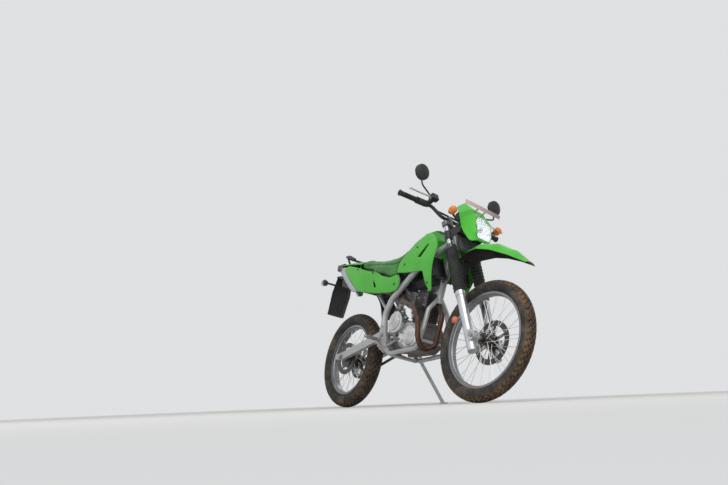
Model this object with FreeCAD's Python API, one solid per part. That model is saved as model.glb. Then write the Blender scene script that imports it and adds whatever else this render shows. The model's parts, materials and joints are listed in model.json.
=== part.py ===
"""A dual sport motorcycle, parked on its side stand.

Every piece is drawn on the upright machine: +X forward, +Y to the rider's left, +Z up, with the
point below the rear axle as zero, in millimetres. What steers is drawn in the fork's own frame,
whose +Z runs up the steering axis. place() then leans the machine onto its stand and moves the
zero to the middle of its footprint on the ground.
"""

import FreeCAD
import Part
import math
import os

# Wheels and stance
WHEELBASE = 1400.0
FRONT_TYRE_R = 348.0
FRONT_TYRE_W = 84.0
FRONT_CROWN_R = 46.0
FRONT_FLANGE_R = 276.0
FRONT_RIM_W = 48.0
REAR_TYRE_R = 320.0
REAR_TYRE_W = 104.0
REAR_CROWN_R = 62.0
REAR_FLANGE_R = 238.0
REAR_RIM_W = 58.0
TYRE_WALL = 10.0
RIM_WALL = 3.0
RIM_DEPTH = 16.0
BEAD_HEIGHT = 10.0
LEAN_DEG = 13.0
REST_STEER_DEG = 6.0

# Steering geometry
CASTER_DEG = 27.0
CLAMP_OFFSET = 34.0
AXLE_LEAD = 32.0
LEG_HALF = 96.0
HEAD_LOW = 655.0
HEAD_HIGH = 805.0
CLAMP_T = 28.0
HEAD_TUBE_R = 28.0
STEM_R = 14.0
TURN_GAP = 0.3
RUNNING_GAP = 0.05

# Fork
FORK_TUBE_R = 18.5
SLIDER_R = 27.0
SLIDER_LOW = -84.0
SLIDER_HIGH = 312.0
GAITER_R = 36.0
GAITER_ROOT_R = 29.0
GAITER_FOLDS = 13
FRONT_AXLE_R = 8.0
REAR_AXLE_R = 8.5

# Hubs and brakes
SPOKE_R = 1.7
SPOKES_A_SIDE = 18
SPOKE_SWEEP_DEG = 42.0
FRONT_HUB_FLANGE_R = 38.0
FRONT_HUB_HALF = 26.0
REAR_HUB_FLANGE_R = 52.0
REAR_HUB_HALF = 30.0
HUB_FLANGE_T = 5.0
DISC_T = 4.0
FRONT_DISC_R = 128.0
FRONT_DISC_Y = 44.0
REAR_DISC_R = 108.0
REAR_DISC_Y = -50.0
SPROCKET_TIP_R = 98.0
SPROCKET_Y = 64.0
SPROCKET_T = 6.0
SPROCKET_TEETH = 44

# Frame
SPAR_R = 19.0
SPAR_HALF = 112.0
CRADLE_R = 14.0
DOWNTUBE_R = 20.0
SUBFRAME_R = 11.0
SUBFRAME_HALF = 66.0
PIVOT_X = 515.0
PIVOT_Z = 424.0
PIVOT_R = 10.0

# Swinging arm and chain
ARM_W = 26.0
ARM_HALF = 88.0
CHAIN_Y = 64.0
CHAIN_W = 13.0
CHAIN_THICK = 13.0
FRONT_SPROCKET_X = 585.0
FRONT_SPROCKET_Z = 420.0
FRONT_SPROCKET_R = 30.0

# Engine
CRANK_X = 790.0
CRANK_Z = 395.0
ENGINE_FRONT = (893.0, 372.0, 10.0)
ENGINE_REAR = (556.0, 352.0, 9.0)
LINK_REST = (612.0, 296.0, 11.0)
CLUTCH_X = 686.0
CLUTCH_Z = 462.0
CYLINDER_TILT_DEG = 6.0
CYLINDER_HALF = 62.0
PORT_UP = 126.0
PORT_END = 80.0
FIN_OUT = 16.0
FIN_T = 3.0
FIN_PITCH = 9.5
FIN_COUNT = 8
PIPE_R = 16.0
MUFFLER_W = 38.0
MUFFLER_H = 84.0

# Panels
PANEL_T = 4.0
FENDER_T = 3.0

# Side stand
STAND_PIVOT = (560.0, 152.0, 330.0)
STAND_FOOT_X = 655.0
STAND_FOOT_Y = 318.0
STAND_LEG_R = 11.0
STAND_PAD_R = 26.0
STAND_PAD_T = 8.0
STAND_PIN_R = 7.0
STAND_EYE_HALF = 12.0
STAND_FOLD_DEG = 107.0

V = FreeCAD.Vector
SHOCK_FOOT = V(425, 0, 352)
SHOCK_TOP = V(510, 0, 672)
MUFFLER_START = V(384, -99, 736)
MUFFLER_END = V(-140, -89, 872)
X_AXIS = V(1, 0, 0)
Y_AXIS = V(0, 1, 0)
Z_AXIS = V(0, 0, 1)
ZERO = V(0, 0, 0)

CASTER = math.radians(CASTER_DEG)
FORK_TRAIL_X = (CLAMP_OFFSET + AXLE_LEAD) * math.cos(CASTER)
FORK_TRAIL_Z = (CLAMP_OFFSET + AXLE_LEAD) * math.sin(CASTER)
FORK_FOOT = V(WHEELBASE - FORK_TRAIL_X, 0, FRONT_TYRE_R - FORK_TRAIL_Z)
FRONT_AXLE = V(CLAMP_OFFSET + AXLE_LEAD, 0, 0)
REAR_AXLE = V(0, 0, REAR_TYRE_R)


# Placements

def steering_frame():
    """The fork's own frame, turned to the angle that it is parked at."""
    tilt = FreeCAD.Placement(FORK_FOOT, FreeCAD.Rotation(Y_AXIS, -CASTER_DEG))
    turn = FreeCAD.Placement(ZERO, FreeCAD.Rotation(Z_AXIS, REST_STEER_DEG))
    return tilt * turn


def lowest_of_tyre(centre, axle, tyre_r, crown_r):
    """Height of the lowest point of a tyre whose crown is part of a torus."""
    return centre.z - (tyre_r - crown_r) * math.sqrt(1 - axle.z ** 2) - crown_r


def stance():
    """Leans the machine, then pitches and lowers it until both tyres touch the ground."""
    pitch = 0.0
    height = 0.0
    steer = steering_frame()
    for _ in range(40):
        lean = FreeCAD.Rotation(X_AXIS, -LEAN_DEG) * FreeCAD.Rotation(Y_AXIS, math.degrees(pitch))
        pose = FreeCAD.Placement(V(0, 0, height), lean)
        front = pose * steer
        low_rear = lowest_of_tyre(pose.multVec(REAR_AXLE), lean.multVec(Y_AXIS),
                                  REAR_TYRE_R, REAR_CROWN_R)
        low_front = lowest_of_tyre(front.multVec(FRONT_AXLE), front.Rotation.multVec(Y_AXIS),
                                   FRONT_TYRE_R, FRONT_CROWN_R)
        height -= low_rear
        pitch += (low_front - low_rear) / WHEELBASE
    return pose


STANCE = stance()


def ground_height(x, y):
    """Height of the ground above a point of the upright machine's own base plane."""
    up = STANCE.Rotation.inverted().multVec(Z_AXIS)
    point = STANCE.inverse().multVec(ZERO)
    return point.z - (up.x * (x - point.x) + up.y * (y - point.y)) / up.z


# Shape helpers

def corner_arcs(points, bend, closed=False):
    """Edges along a run of points, with each corner rounded by a tangent arc of radius bend."""
    count = len(points)
    edges = []
    corners = range(count) if closed else range(1, count - 1)
    starts = {}
    ends = {}
    for i in corners:
        before = points[(i - 1) % count] - points[i]
        after = points[(i + 1) % count] - points[i]
        turn = math.pi - before.getAngle(after)
        if turn < 1e-3:
            continue
        reach = min(bend * math.tan(turn / 2), 0.48 * before.Length, 0.48 * after.Length)
        radius = reach / math.tan(turn / 2)
        start = points[i] + before.normalize() * reach
        end = points[i] + after.normalize() * reach
        middle = before + after
        middle.normalize()
        top = points[i] + middle * (radius / math.cos(turn / 2) - radius)
        edges.append((i, Part.Arc(start, top, end).toShape()))
        starts[i] = start
        ends[i] = end
    arcs = dict(edges)
    made = []
    last = count if closed else count - 1
    for i in range(last):
        if i in arcs:
            made.append(arcs[i])
        a = ends.get(i, points[i])
        b = starts.get((i + 1) % count, points[(i + 1) % count])
        if a.distanceToPoint(b) > 1e-6:
            made.append(Part.LineSegment(a, b).toShape())
    return made


def path_wire(points, bend, closed=False):
    return Part.Wire(Part.__sortEdges__(corner_arcs([V(*p) for p in points], bend, closed)))


def ring_wire(centre, axis, radius):
    return Part.Wire(Part.makeCircle(radius, centre, axis))


def tube(points, radius, bend=40.0, bore=None):
    """A round bar, or a pipe where bore is given, swept along runs joined by tangent arcs."""
    spine = path_wire(points, bend)
    start = V(*points[0])
    along = V(*points[1]) - start
    bar = spine.makePipeShell([ring_wire(start, along, radius)], True, False)
    if bore is None:
        return bar
    hole = spine.makePipeShell([ring_wire(start, along, bore)], True, False)
    return bar.cut(hole)


def bar_between(start, end, radius):
    start = V(*start)
    end = V(*end)
    return Part.makeCylinder(radius, start.distanceToPoint(end), start, end - start)


def side_plate(outline, y_inner, thickness, corner=8.0, holes=()):
    """A flat plate whose outline is given as (x, z) points, from y_inner outwards to +y."""
    wire = path_wire([(x, y_inner, z) for x, z in outline], corner, True)
    plate = Part.Face(wire).extrude(V(0, thickness, 0))
    for x, z, radius in holes:
        plate = plate.cut(Part.makeCylinder(radius, thickness + 2, V(x, y_inner - 1, z), Y_AXIS))
    return plate


def revolved(profile, axis=Y_AXIS, centre=ZERO):
    """A closed profile of (radius, along) points, turned about an axis through centre."""
    if axis == Y_AXIS:
        points = [V(r, a, 0) for r, a in profile]
    else:
        points = [V(r, 0, a) for r, a in profile]
    wire = Part.makePolygon(points + [points[0]])
    solid = Part.Face(wire).revolve(ZERO, axis, 360)
    solid.translate(centre)
    return solid


def mirrored(shape):
    return shape.mirror(ZERO, Y_AXIS)


def both_sides(shape):
    """A piece and its mirror image, as one node of two solids."""
    return Part.makeCompound([shape, mirrored(shape)])


def fused(shapes):
    whole = shapes[0]
    if len(shapes) > 1:
        whole = whole.fuse(shapes[1:])
    return whole.removeSplitter()


def loft(wires, ruled=False):
    return Part.makeLoft(wires, True, ruled)


def rounded_box(low, high, radius, axis=Y_AXIS):
    """A box between two corners, with its four edges along one axis rounded."""
    low = V(*low)
    high = V(*high)
    size = high - low
    box = Part.makeBox(size.x, size.y, size.z, low)
    edges = []
    for edge in box.Edges:
        along = edge.Vertexes[1].Point - edge.Vertexes[0].Point
        if abs(along.normalize().dot(axis)) > 0.99:
            edges.append(edge)
    return box.makeFillet(radius, edges)


# Wheels, drawn about their own axle, which runs along Y

def tyre(tyre_r, width, crown_r, flange_r, rim_w):
    """A hollow tyre: a round crown out to the tips of its tread, side walls and two beads."""
    half = width / 2
    seat = flange_r - BEAD_HEIGHT
    bead = rim_w / 2 - RIM_WALL
    crown_centre = tyre_r - crown_r
    edge = math.asin(0.86 * half / crown_r)
    shoulder = V(crown_centre + crown_r * math.cos(edge), crown_r * math.sin(edge), 0)
    widest = V((shoulder.x + flange_r) / 2, half, 0)

    def mirror_y(p):
        return V(p.x, -p.y, 0)

    flange_top = V(flange_r + 2, bead, 0)
    bead_out = V(seat, bead, 0)
    bead_in = V(seat, bead - TYRE_WALL, 0)
    inner_wide = V(widest.x, half - TYRE_WALL, 0)
    inner_top = V(tyre_r - TYRE_WALL - 8, 0, 0)
    edges = [
        Part.Arc(shoulder, V(tyre_r, 0, 0), mirror_y(shoulder)).toShape(),
        Part.Arc(mirror_y(shoulder), mirror_y(widest), mirror_y(flange_top)).toShape(),
        Part.LineSegment(mirror_y(flange_top), mirror_y(bead_out)).toShape(),
        Part.LineSegment(mirror_y(bead_out), mirror_y(bead_in)).toShape(),
        Part.LineSegment(mirror_y(bead_in), mirror_y(inner_wide)).toShape(),
        Part.Arc(mirror_y(inner_wide), inner_top, inner_wide).toShape(),
        Part.LineSegment(inner_wide, bead_in).toShape(),
        Part.LineSegment(bead_in, bead_out).toShape(),
        Part.LineSegment(bead_out, flange_top).toShape(),
        Part.Arc(flange_top, widest, shoulder).toShape(),
    ]
    return Part.Face(Part.Wire(edges)).revolve(ZERO, Y_AXIS, 360)


def rim(flange_r, rim_w):
    """A rolled rim: two flanges, two bead seats and a well where the spokes end."""
    half = rim_w / 2
    seat = flange_r - BEAD_HEIGHT
    well = flange_r - RIM_DEPTH
    well_half = half - 12
    profile = [
        (flange_r, half), (flange_r, half - RIM_WALL), (seat, half - RIM_WALL),
        (seat, well_half), (well, well_half - 6), (well, 6 - well_half), (seat, -well_half),
        (seat, RIM_WALL - half), (flange_r, RIM_WALL - half), (flange_r, -half),
        (seat - RIM_WALL, -half), (seat - RIM_WALL, -well_half - 1),
        (well - RIM_WALL, 4 - well_half), (well - RIM_WALL, well_half - 4),
        (seat - RIM_WALL, well_half + 1), (seat - RIM_WALL, half),
    ]
    return revolved(profile)


def spokes(hub_r, hub_half, flange_r):
    """Laced wire spokes: each hub flange carries one set outside and one set inside itself."""
    made = []
    rim_r = flange_r - RIM_DEPTH - RIM_WALL - 0.4
    step = 360.0 / SPOKES_A_SIDE
    for side in (1, -1):
        for k in range(SPOKES_A_SIDE):
            outer = k % 2 == 0
            lean = SPOKE_SWEEP_DEG if outer else -SPOKE_SWEEP_DEG
            hub_angle = math.radians(k * step + (step / 2 if side < 0 else 0))
            rim_angle = hub_angle + math.radians(lean)
            out = HUB_FLANGE_T / 2 + SPOKE_R + (1.2 if outer else 1.4)
            hub_y = side * (hub_half + (out if outer else -out))
            rim_y = side * (8.0 if outer else 2.5)
            start = (hub_r * math.cos(hub_angle), hub_y, hub_r * math.sin(hub_angle))
            end = (rim_r * math.cos(rim_angle), rim_y, rim_r * math.sin(rim_angle))
            made.append(bar_between(start, end, SPOKE_R))
    return Part.makeCompound(made)


def brake_disc(radius, y, bolt_r):
    """A drilled brake disc with a spidered centre."""
    ring = Part.makeCylinder(radius, DISC_T, V(0, y - DISC_T / 2, 0), Y_AXIS)
    ring = ring.cut(Part.makeCylinder(radius - 32, DISC_T, V(0, y - DISC_T / 2, 0), Y_AXIS))
    arms = [ring]
    for k in range(6):
        arm = Part.makeBox(radius - 20, DISC_T, 16, V(0, y - DISC_T / 2, -8))
        arm.rotate(ZERO, Y_AXIS, 60 * k)
        arms.append(arm)
    arms.append(Part.makeCylinder(bolt_r + 8, DISC_T, V(0, y - DISC_T / 2, 0), Y_AXIS))
    return fused(arms)


def hub_boss(flange_r):
    """Radius of a hub's ends, beyond its spoke flanges."""
    return flange_r * 0.45


def hub(flange_r, half, axle_r, disc_r, disc_y, left_end, right_end):
    """A hub with two spoke flanges, its bearing bore and its brake disc."""
    barrel = flange_r * 0.62
    boss = hub_boss(flange_r)
    shaft = axle_r + RUNNING_GAP
    profile = [
        (shaft, -right_end), (boss, -right_end), (boss, -half - HUB_FLANGE_T / 2),
        (flange_r, -half - HUB_FLANGE_T / 2), (flange_r, -half + HUB_FLANGE_T / 2),
        (barrel, -half + HUB_FLANGE_T), (barrel, half - HUB_FLANGE_T),
        (flange_r, half - HUB_FLANGE_T / 2), (flange_r, half + HUB_FLANGE_T / 2),
        (boss, half + HUB_FLANGE_T / 2), (boss, left_end), (shaft, left_end),
    ]
    disc = brake_disc(disc_r, disc_y, flange_r)
    disc = disc.cut(Part.makeCylinder(boss - 1, 200, V(0, -100, 0), Y_AXIS))
    return fused([revolved(profile), disc])


def sprocket():
    """The rear sprocket: a toothed ring on a spider."""
    root_r = SPROCKET_TIP_R - 7
    points = []
    for k in range(SPROCKET_TEETH):
        for share, radius in ((-0.5, root_r), (-0.2, SPROCKET_TIP_R), (0.2, SPROCKET_TIP_R)):
            angle = 2 * math.pi * (k + share) / SPROCKET_TEETH
            points.append((radius * math.cos(angle), SPROCKET_Y - SPROCKET_T / 2,
                           radius * math.sin(angle)))
    blank = Part.Face(Part.makePolygon([V(*p) for p in points + points[:1]]))
    blank = blank.extrude(V(0, SPROCKET_T, 0))
    for k in range(6):
        angle = math.radians(60 * k + 30)
        window = Part.makeCylinder(17, SPROCKET_T + 2, V(64 * math.cos(angle),
                                   SPROCKET_Y - SPROCKET_T / 2 - 1, 64 * math.sin(angle)), Y_AXIS)
        blank = blank.cut(window)
    return blank.cut(Part.makeCylinder(REAR_AXLE_R + 4, 60, V(0, SPROCKET_Y - 30, 0), Y_AXIS))


# Steering, drawn in the fork's own frame

def clamp_plate(low):
    outline = [(-26, -28), (-26, 28), (CLAMP_OFFSET - 10, LEG_HALF + 26),
               (CLAMP_OFFSET + 26, LEG_HALF + 26), (CLAMP_OFFSET + 26, LEG_HALF - 22),
               (CLAMP_OFFSET + 6, 34), (CLAMP_OFFSET + 6, -34),
               (CLAMP_OFFSET + 26, 22 - LEG_HALF), (CLAMP_OFFSET + 26, -LEG_HALF - 26),
               (CLAMP_OFFSET - 10, -LEG_HALF - 26)]
    wire = path_wire([(x, y, low) for x, y in outline], 12, True)
    plate = Part.Face(wire).extrude(V(0, 0, CLAMP_T))
    for side in (1, -1):
        plate = plate.cut(Part.makeCylinder(FORK_TUBE_R, CLAMP_T, V(CLAMP_OFFSET, side * LEG_HALF, low)))
    return plate


def triple_clamps():
    """Lower and upper yokes joined by the steering stem, with the bar's two risers."""
    lower = clamp_plate(HEAD_LOW - TURN_GAP - CLAMP_T)
    upper = clamp_plate(HEAD_HIGH + TURN_GAP)
    stem = Part.makeCylinder(STEM_R, HEAD_HIGH - HEAD_LOW + CLAMP_T, V(0, 0, HEAD_LOW - CLAMP_T / 2))
    nut = Part.makeCylinder(18, 10, V(0, 0, HEAD_HIGH + TURN_GAP + CLAMP_T))
    pieces = [lower, upper, stem, nut]
    for side in (1, -1):
        riser = rounded_box((BAR_X - 17, side * 48 - 14, HEAD_HIGH + TURN_GAP + CLAMP_T),
                            (BAR_X + 17, side * 48 + 14, BAR_Z + 17), 6)
        pieces.append(riser)
    whole = fused(pieces)
    return whole.cut(Part.makeCylinder(BAR_R, 160, V(BAR_X, -80, BAR_Z), Y_AXIS))


BAR_R = 11.0
BAR_X = 24.0
BAR_Z = 885.0
GRIP_R = 16.0
GRIP_IN = 285.0
GRIP_LIP = 6.0
BAR_END = 408.0
BAR_BORE_R = 7.0
BAR_BORE_DEPTH = 45.0
BAR_POINTS = [(BAR_X, 78, BAR_Z), (BAR_X, 112, BAR_Z + 4), (BAR_X - 2, 178, BAR_Z + 58)]
GRIP_SLOPE = V(-0.10, 1.0, 0.06)


def grip_point(y):
    """A point on the bar's outer run, which starts at the last of BAR_POINTS."""
    start = V(*BAR_POINTS[-1])
    share = y - start.y
    return V(start.x + GRIP_SLOPE.x * share, y, start.z + GRIP_SLOPE.z * share)


def handlebar():
    """One bent bar with a cross brace."""
    left = BAR_POINTS + [tuple(grip_point(BAR_END))]
    right = [(x, -y, z) for x, y, z in reversed(left)]
    bar = tube(right + left, BAR_R, 60)
    brace_y = 152
    low = V(BAR_X - 2, brace_y, BAR_Z + 38)
    brace = Part.makeCylinder(6, 2 * brace_y, V(low.x, -brace_y, low.z), Y_AXIS)
    bores = both_sides(bar_between(grip_point(BAR_END - BAR_BORE_DEPTH), grip_point(BAR_END + 1),
                                   BAR_BORE_R))
    return fused([bar, brace]).cut(bores)


def grip():
    """A rubber grip over the end of the bar, open where the bar is bored."""
    start = grip_point(GRIP_IN)
    end = grip_point(BAR_END + GRIP_LIP)
    length = start.distanceToPoint(end)
    lip = length - start.distanceToPoint(grip_point(BAR_END))
    mouth = BAR_BORE_R + 1
    profile = [(BAR_R, 0), (21, 0), (21, 6), (GRIP_R, 9), (GRIP_R, length - 8),
               (19, length - 6), (19, length), (mouth, length), (mouth, length - lip),
               (BAR_R, length - lip)]
    body = revolved(profile, Z_AXIS)
    turn = FreeCAD.Rotation(Z_AXIS, end - start)
    body.Placement = FreeCAD.Placement(start, turn)
    return body


def hand_control(side):
    """A lever with its perch and switch housing; the right one carries the brake reservoir."""
    inner = grip_point(GRIP_IN - 62)
    outer = grip_point(GRIP_IN - 4)
    housing = bar_between(inner, outer, 21)
    perch_at = grip_point(GRIP_IN - 80)
    perch = bar_between(perch_at, inner, 18)
    arm = Part.makeBox(52, 26, 18, V(perch_at.x, perch_at.y - 6, perch_at.z - 9))
    pivot = V(perch_at.x + 48, perch_at.y + 6, perch_at.z)
    lever = tube([(pivot.x, pivot.y, pivot.z), (pivot.x + 14, pivot.y + 40, pivot.z),
                  (pivot.x + 6, pivot.y + 110, pivot.z + 4),
                  (pivot.x + 2, pivot.y + 178, pivot.z + 8)], 5.5, 30)
    knob = Part.makeSphere(8, V(pivot.x + 2, pivot.y + 178, pivot.z + 8))
    pieces = [housing, perch, arm, lever, knob]
    if side < 0:
        pieces.append(rounded_box((pivot.x - 8, pivot.y - 34, pivot.z - 4),
                                  (pivot.x + 28, pivot.y + 16, pivot.z + 30), 8, Z_AXIS))
    whole = fused(pieces)
    whole = whole.cut(bar_between(grip_point(GRIP_IN - 100), grip_point(GRIP_IN), BAR_R))
    return whole if side > 0 else mirrored(whole)


MIRROR_AT = V(118.0, 310.0, 1084.0)
MIRROR_R = 50.0


def mirror_piece():
    """A round mirror: a domed back, its glass side to the rear, and a bent stem."""
    perch = grip_point(GRIP_IN - 80)
    foot = V(perch.x + 30, perch.y + 4, perch.z + 9)
    back = Part.makeSphere(95, ZERO).common(
        Part.makeCylinder(MIRROR_R, 30, V(0, 0, 95 - 22)))
    rim_ring = Part.makeCylinder(MIRROR_R, 8, V(0, 0, 95 - 30))
    head = fused([back, rim_ring])
    head.translate(V(0, 0, -95 + 20))
    forward = V(math.cos(CASTER), 0, -math.sin(CASTER))
    head.Placement = FreeCAD.Placement(MIRROR_AT, FreeCAD.Rotation(Z_AXIS, forward)) * head.Placement
    up = V(math.sin(CASTER), 0, math.cos(CASTER))
    joint = MIRROR_AT - up * (MIRROR_R - 12)
    stem = tube([(foot.x, foot.y, foot.z + 6), (foot.x + 4, foot.y, foot.z + 44),
                 (joint.x - 6, joint.y - 4, joint.z - 50), tuple(joint)], 5, 18)
    boss = Part.makeCylinder(9, 20, foot)
    return fused([head, stem, boss])


def fork_tubes():
    leg = Part.makeCylinder(FORK_TUBE_R, HEAD_HIGH + CLAMP_T + 6 - 120, V(CLAMP_OFFSET, LEG_HALF, 120))
    return both_sides(leg)


def fork_slider():
    """A lower leg: a bored tube, its oil seal collar and the axle lug ahead of it."""
    length = SLIDER_HIGH - SLIDER_LOW
    body = Part.makeCylinder(SLIDER_R, length, V(CLAMP_OFFSET, LEG_HALF, SLIDER_LOW))
    collar = Part.makeCylinder(SLIDER_R + 3, 26, V(CLAMP_OFFSET, LEG_HALF, SLIDER_HIGH - 26))
    lug = side_plate([(CLAMP_OFFSET - 4, -46), (CLAMP_OFFSET - 4, 54), (CLAMP_OFFSET + 20, 40),
                      (FRONT_AXLE.x + 22, 20), (FRONT_AXLE.x + 22, -22),
                      (CLAMP_OFFSET + 20, -34)], LEG_HALF - 20, 46, 12)
    whole = fused([body, collar, lug])
    whole = whole.cut(Part.makeCylinder(FORK_TUBE_R, length, V(CLAMP_OFFSET, LEG_HALF, 120)))
    return whole.cut(Part.makeCylinder(FRONT_AXLE_R, 200, V(FRONT_AXLE.x, 0, 0), Y_AXIS))


def gaiter():
    """A rubber bellows over the fork tube, from the slider up to the lower yoke."""
    low = SLIDER_HIGH
    high = HEAD_LOW - TURN_GAP - CLAMP_T
    pitch = (high - low) / GAITER_FOLDS
    outer = []
    for k in range(GAITER_FOLDS):
        outer.append((GAITER_ROOT_R, low + pitch * k))
        outer.append((GAITER_R, low + pitch * (k + 0.5)))
    outer.append((GAITER_ROOT_R, high))
    profile = [(FORK_TUBE_R, low)] + outer + [(FORK_TUBE_R, high)]
    return revolved(profile, Z_AXIS, V(CLAMP_OFFSET, LEG_HALF, 0))


def front_axle():
    leg_in = LEG_HALF - 20
    leg_out = LEG_HALF + 26
    hub_left = FRONT_DISC_Y + DISC_T / 2
    hub_right = FRONT_HUB_HALF + 18
    bolt = Part.makeCylinder(FRONT_AXLE_R, 2 * leg_out + 16, V(FRONT_AXLE.x, -leg_out - 8, 0), Y_AXIS)
    nut = Part.makeCylinder(14, 9, V(FRONT_AXLE.x, -leg_out - 9, 0), Y_AXIS)
    head = Part.makeCylinder(13, 8, V(FRONT_AXLE.x, leg_out, 0), Y_AXIS)
    left = Part.makeCylinder(12, leg_in - hub_left - TURN_GAP, V(FRONT_AXLE.x, hub_left + TURN_GAP, 0), Y_AXIS)
    right = Part.makeCylinder(12, leg_in - hub_right - TURN_GAP, V(FRONT_AXLE.x, -leg_in, 0), Y_AXIS)
    return fused([bolt, nut, head, left, right])


# The front fender's sections: place along and up, slope of its run, half width, drop of its edges
FENDER_COLUMNS = ("x", "z", "slope_deg", "half", "drop")
FENDER_SECTIONS = [
    (-64, 410, 112, 42, 12),
    (-40, 500, 100, 47, 16),
    (10, 578, 40, 52, 18),
    (110, 590, -2, 72, 30),
    (220, 572, -20, 84, 52),
    (330, 500, -46, 80, 60),
    (420, 390, -56, 66, 46),
    (486, 262, -66, 42, 12),
]


def fender_section(x, z, slope_deg, half, drop, thick):
    """A thin arch across the fender, square to its run."""
    slope = math.radians(slope_deg)
    up = V(-math.sin(slope), 0, math.cos(slope))
    top = V(x, 0, z)

    def at(y, down):
        return top + V(0, y, 0) - up * down

    outer = Part.Arc(at(half, drop), at(0, 0), at(-half, drop)).toShape()
    inner = Part.Arc(at(thick - half, drop), at(0, thick), at(half - thick, drop)).toShape()
    right = Part.LineSegment(at(-half, drop), at(thick - half, drop)).toShape()
    left = Part.LineSegment(at(half - thick, drop), at(half, drop)).toShape()
    return Part.Wire([outer, right, inner, left])


def front_fender():
    wires = [fender_section(*row, FENDER_T) for row in FENDER_SECTIONS]
    pieces = [loft(wires, True)]
    top = HEAD_LOW - TURN_GAP - CLAMP_T - 0.3
    for side in (1, -1):
        pieces.append(Part.makeCylinder(10, top - 568, V(34, side * 20, 568)))
    return fused(pieces)


# The headlight cowl's level sections: height, nose, side line, half width at the side
COWL_COLUMNS = ("z", "nose_x", "rear_x", "half", "nose_half")
COWL_SECTIONS = [
    (592, 200, 156, 70, 54),
    (640, 226, 138, 92, 68),
    (740, 240, 126, 108, 76),
    (840, 214, 138, 98, 58),
    (940, 160, 112, 56, 38),
]


def cowl_section(z, nose, rear, half, nose_half, inset=0.0, back=0.0):
    points = [(rear - back, -half + inset, z), (rear + 20, -half + inset, z),
              (nose - inset, -nose_half + inset / 2, z), (nose - inset, nose_half - inset / 2, z),
              (rear + 20, half - inset, z), (rear - back, half - inset, z)]
    return path_wire(points, 24, True)


LENS = [(-22, 772), (22, 772), (66, 712), (50, 606), (-50, 606), (-66, 712)]


def lens_prism(grow, start, end):
    """The lamp's six-sided outline, run forward from start to end."""
    middle_z = 693
    points = []
    for y, z in LENS:
        points.append((start, y * (1 + grow / 60), middle_z + (z - middle_z) * (1 + grow / 75)))
    return Part.Face(path_wire(points, 10, True)).extrude(V(end - start, 0, 0))


def cowl_body():
    """The cowl's outer shape as a filled solid."""
    return loft([cowl_section(*row) for row in COWL_SECTIONS], True)


def headlight_cowl():
    rows = [(COWL_SECTIONS[0][0] + PANEL_T,) + COWL_SECTIONS[0][1:]]
    rows += COWL_SECTIONS[1:-1]
    rows += [(COWL_SECTIONS[-1][0] - PANEL_T,) + COWL_SECTIONS[-1][1:]]
    inner = loft([cowl_section(*row, inset=PANEL_T, back=30) for row in rows], True)
    return cowl_body().cut(inner).cut(lens_prism(0.3, 180, 300))


def headlight():
    """The lamp behind its clear lens, filling the cowl's window."""
    front = lens_prism(0.0, 170, 300).common(cowl_body())
    bowl = Part.makeCone(38, 50, 52, V(122, 0, 690), X_AXIS)
    return fused([front, bowl])


def instrument():
    """A small clock on a bracket, and the lamp brackets that run to the fork tubes."""
    dial = rounded_box((96, -62, 826), (150, 62, 884), 14, X_AXIS)
    front = CLAMP_OFFSET + 6
    bracket = Part.makeBox(100 - front, 30, 8, V(front, -15, HEAD_HIGH + 10))
    pod = Part.makeBox(14, 90, 60, V(100, -45, 790))
    return fused([dial, bracket, pod])


def lamp_bracket():
    """Ears that clamp the fork tubes and hold the lamp and its cowl."""
    pieces = []
    back = 122.0
    for side in (1, -1):
        clamp = Part.makeCylinder(FORK_TUBE_R + 4, 60, V(CLAMP_OFFSET, side * LEG_HALF, 700))
        arm = Part.makeBox(140 - CLAMP_OFFSET, 5, 54, V(CLAMP_OFFSET, side * LEG_HALF - 2.5, 703))
        reach = COWL_SECTIONS[2][3] - PANEL_T - 1
        peg = Part.makeCylinder(5, reach - LEG_HALF, V(133, side * LEG_HALF, 740), Y_AXIS * side)
        pieces += [clamp, arm, peg]
    tie = Part.makeBox(6, 2 * LEG_HALF, 54, V(back - 6, -LEG_HALF, 703))
    whole = fused(pieces + [tie])
    for side in (1, -1):
        whole = whole.cut(Part.makeCylinder(FORK_TUBE_R, 62, V(CLAMP_OFFSET, side * LEG_HALF, 699)))
    return whole


INDICATOR_AT = V(172.0, 186.0, 786.0)


def indicator(at, root, look):
    """A bullet lamp on a short stalk."""
    body = Part.makeCylinder(23, 22, ZERO, Z_AXIS)
    nose = Part.makeSphere(26, V(0, 0, 14)).common(Part.makeCylinder(23, 40, V(0, 0, 22)))
    tail = Part.makeCone(12, 23, 16, V(0, 0, -16))
    lamp = fused([body, nose, tail])
    lamp.Placement = FreeCAD.Placement(at, FreeCAD.Rotation(Z_AXIS, look))
    stalk = bar_between(tuple(root), tuple(at - look * 4), 7)
    return fused([lamp, stalk])


def front_indicator():
    lamp = indicator(INDICATOR_AT, V(140, LEG_HALF + 6, 760), X_AXIS)
    return lamp.cut(cowl_body())


def front_caliper():
    """The brake caliper astride the disc, on ears behind the left lower leg."""
    body = rounded_box((CLAMP_OFFSET - 70, FRONT_DISC_Y - 14, 20), (CLAMP_OFFSET - 22, LEG_HALF - 22, 104), 10)
    slot = Part.makeCylinder(FRONT_DISC_R + 6, DISC_T + 10,
                             V(FRONT_AXLE.x, FRONT_DISC_Y - DISC_T / 2 - 5, 0), Y_AXIS)
    ear = Part.makeBox(40, 16, 60, V(CLAMP_OFFSET - 50, LEG_HALF - 34, 32))
    whole = fused([body.cut(slot), ear])
    return whole.cut(Part.makeCylinder(SLIDER_R, 200, V(CLAMP_OFFSET, LEG_HALF, 0)))


# Frame and engine, drawn on the upright machine

def fork_to_bike(point):
    tilt = FreeCAD.Placement(FORK_FOOT, FreeCAD.Rotation(Y_AXIS, -CASTER_DEG))
    return tilt.multVec(V(*point))


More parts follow.
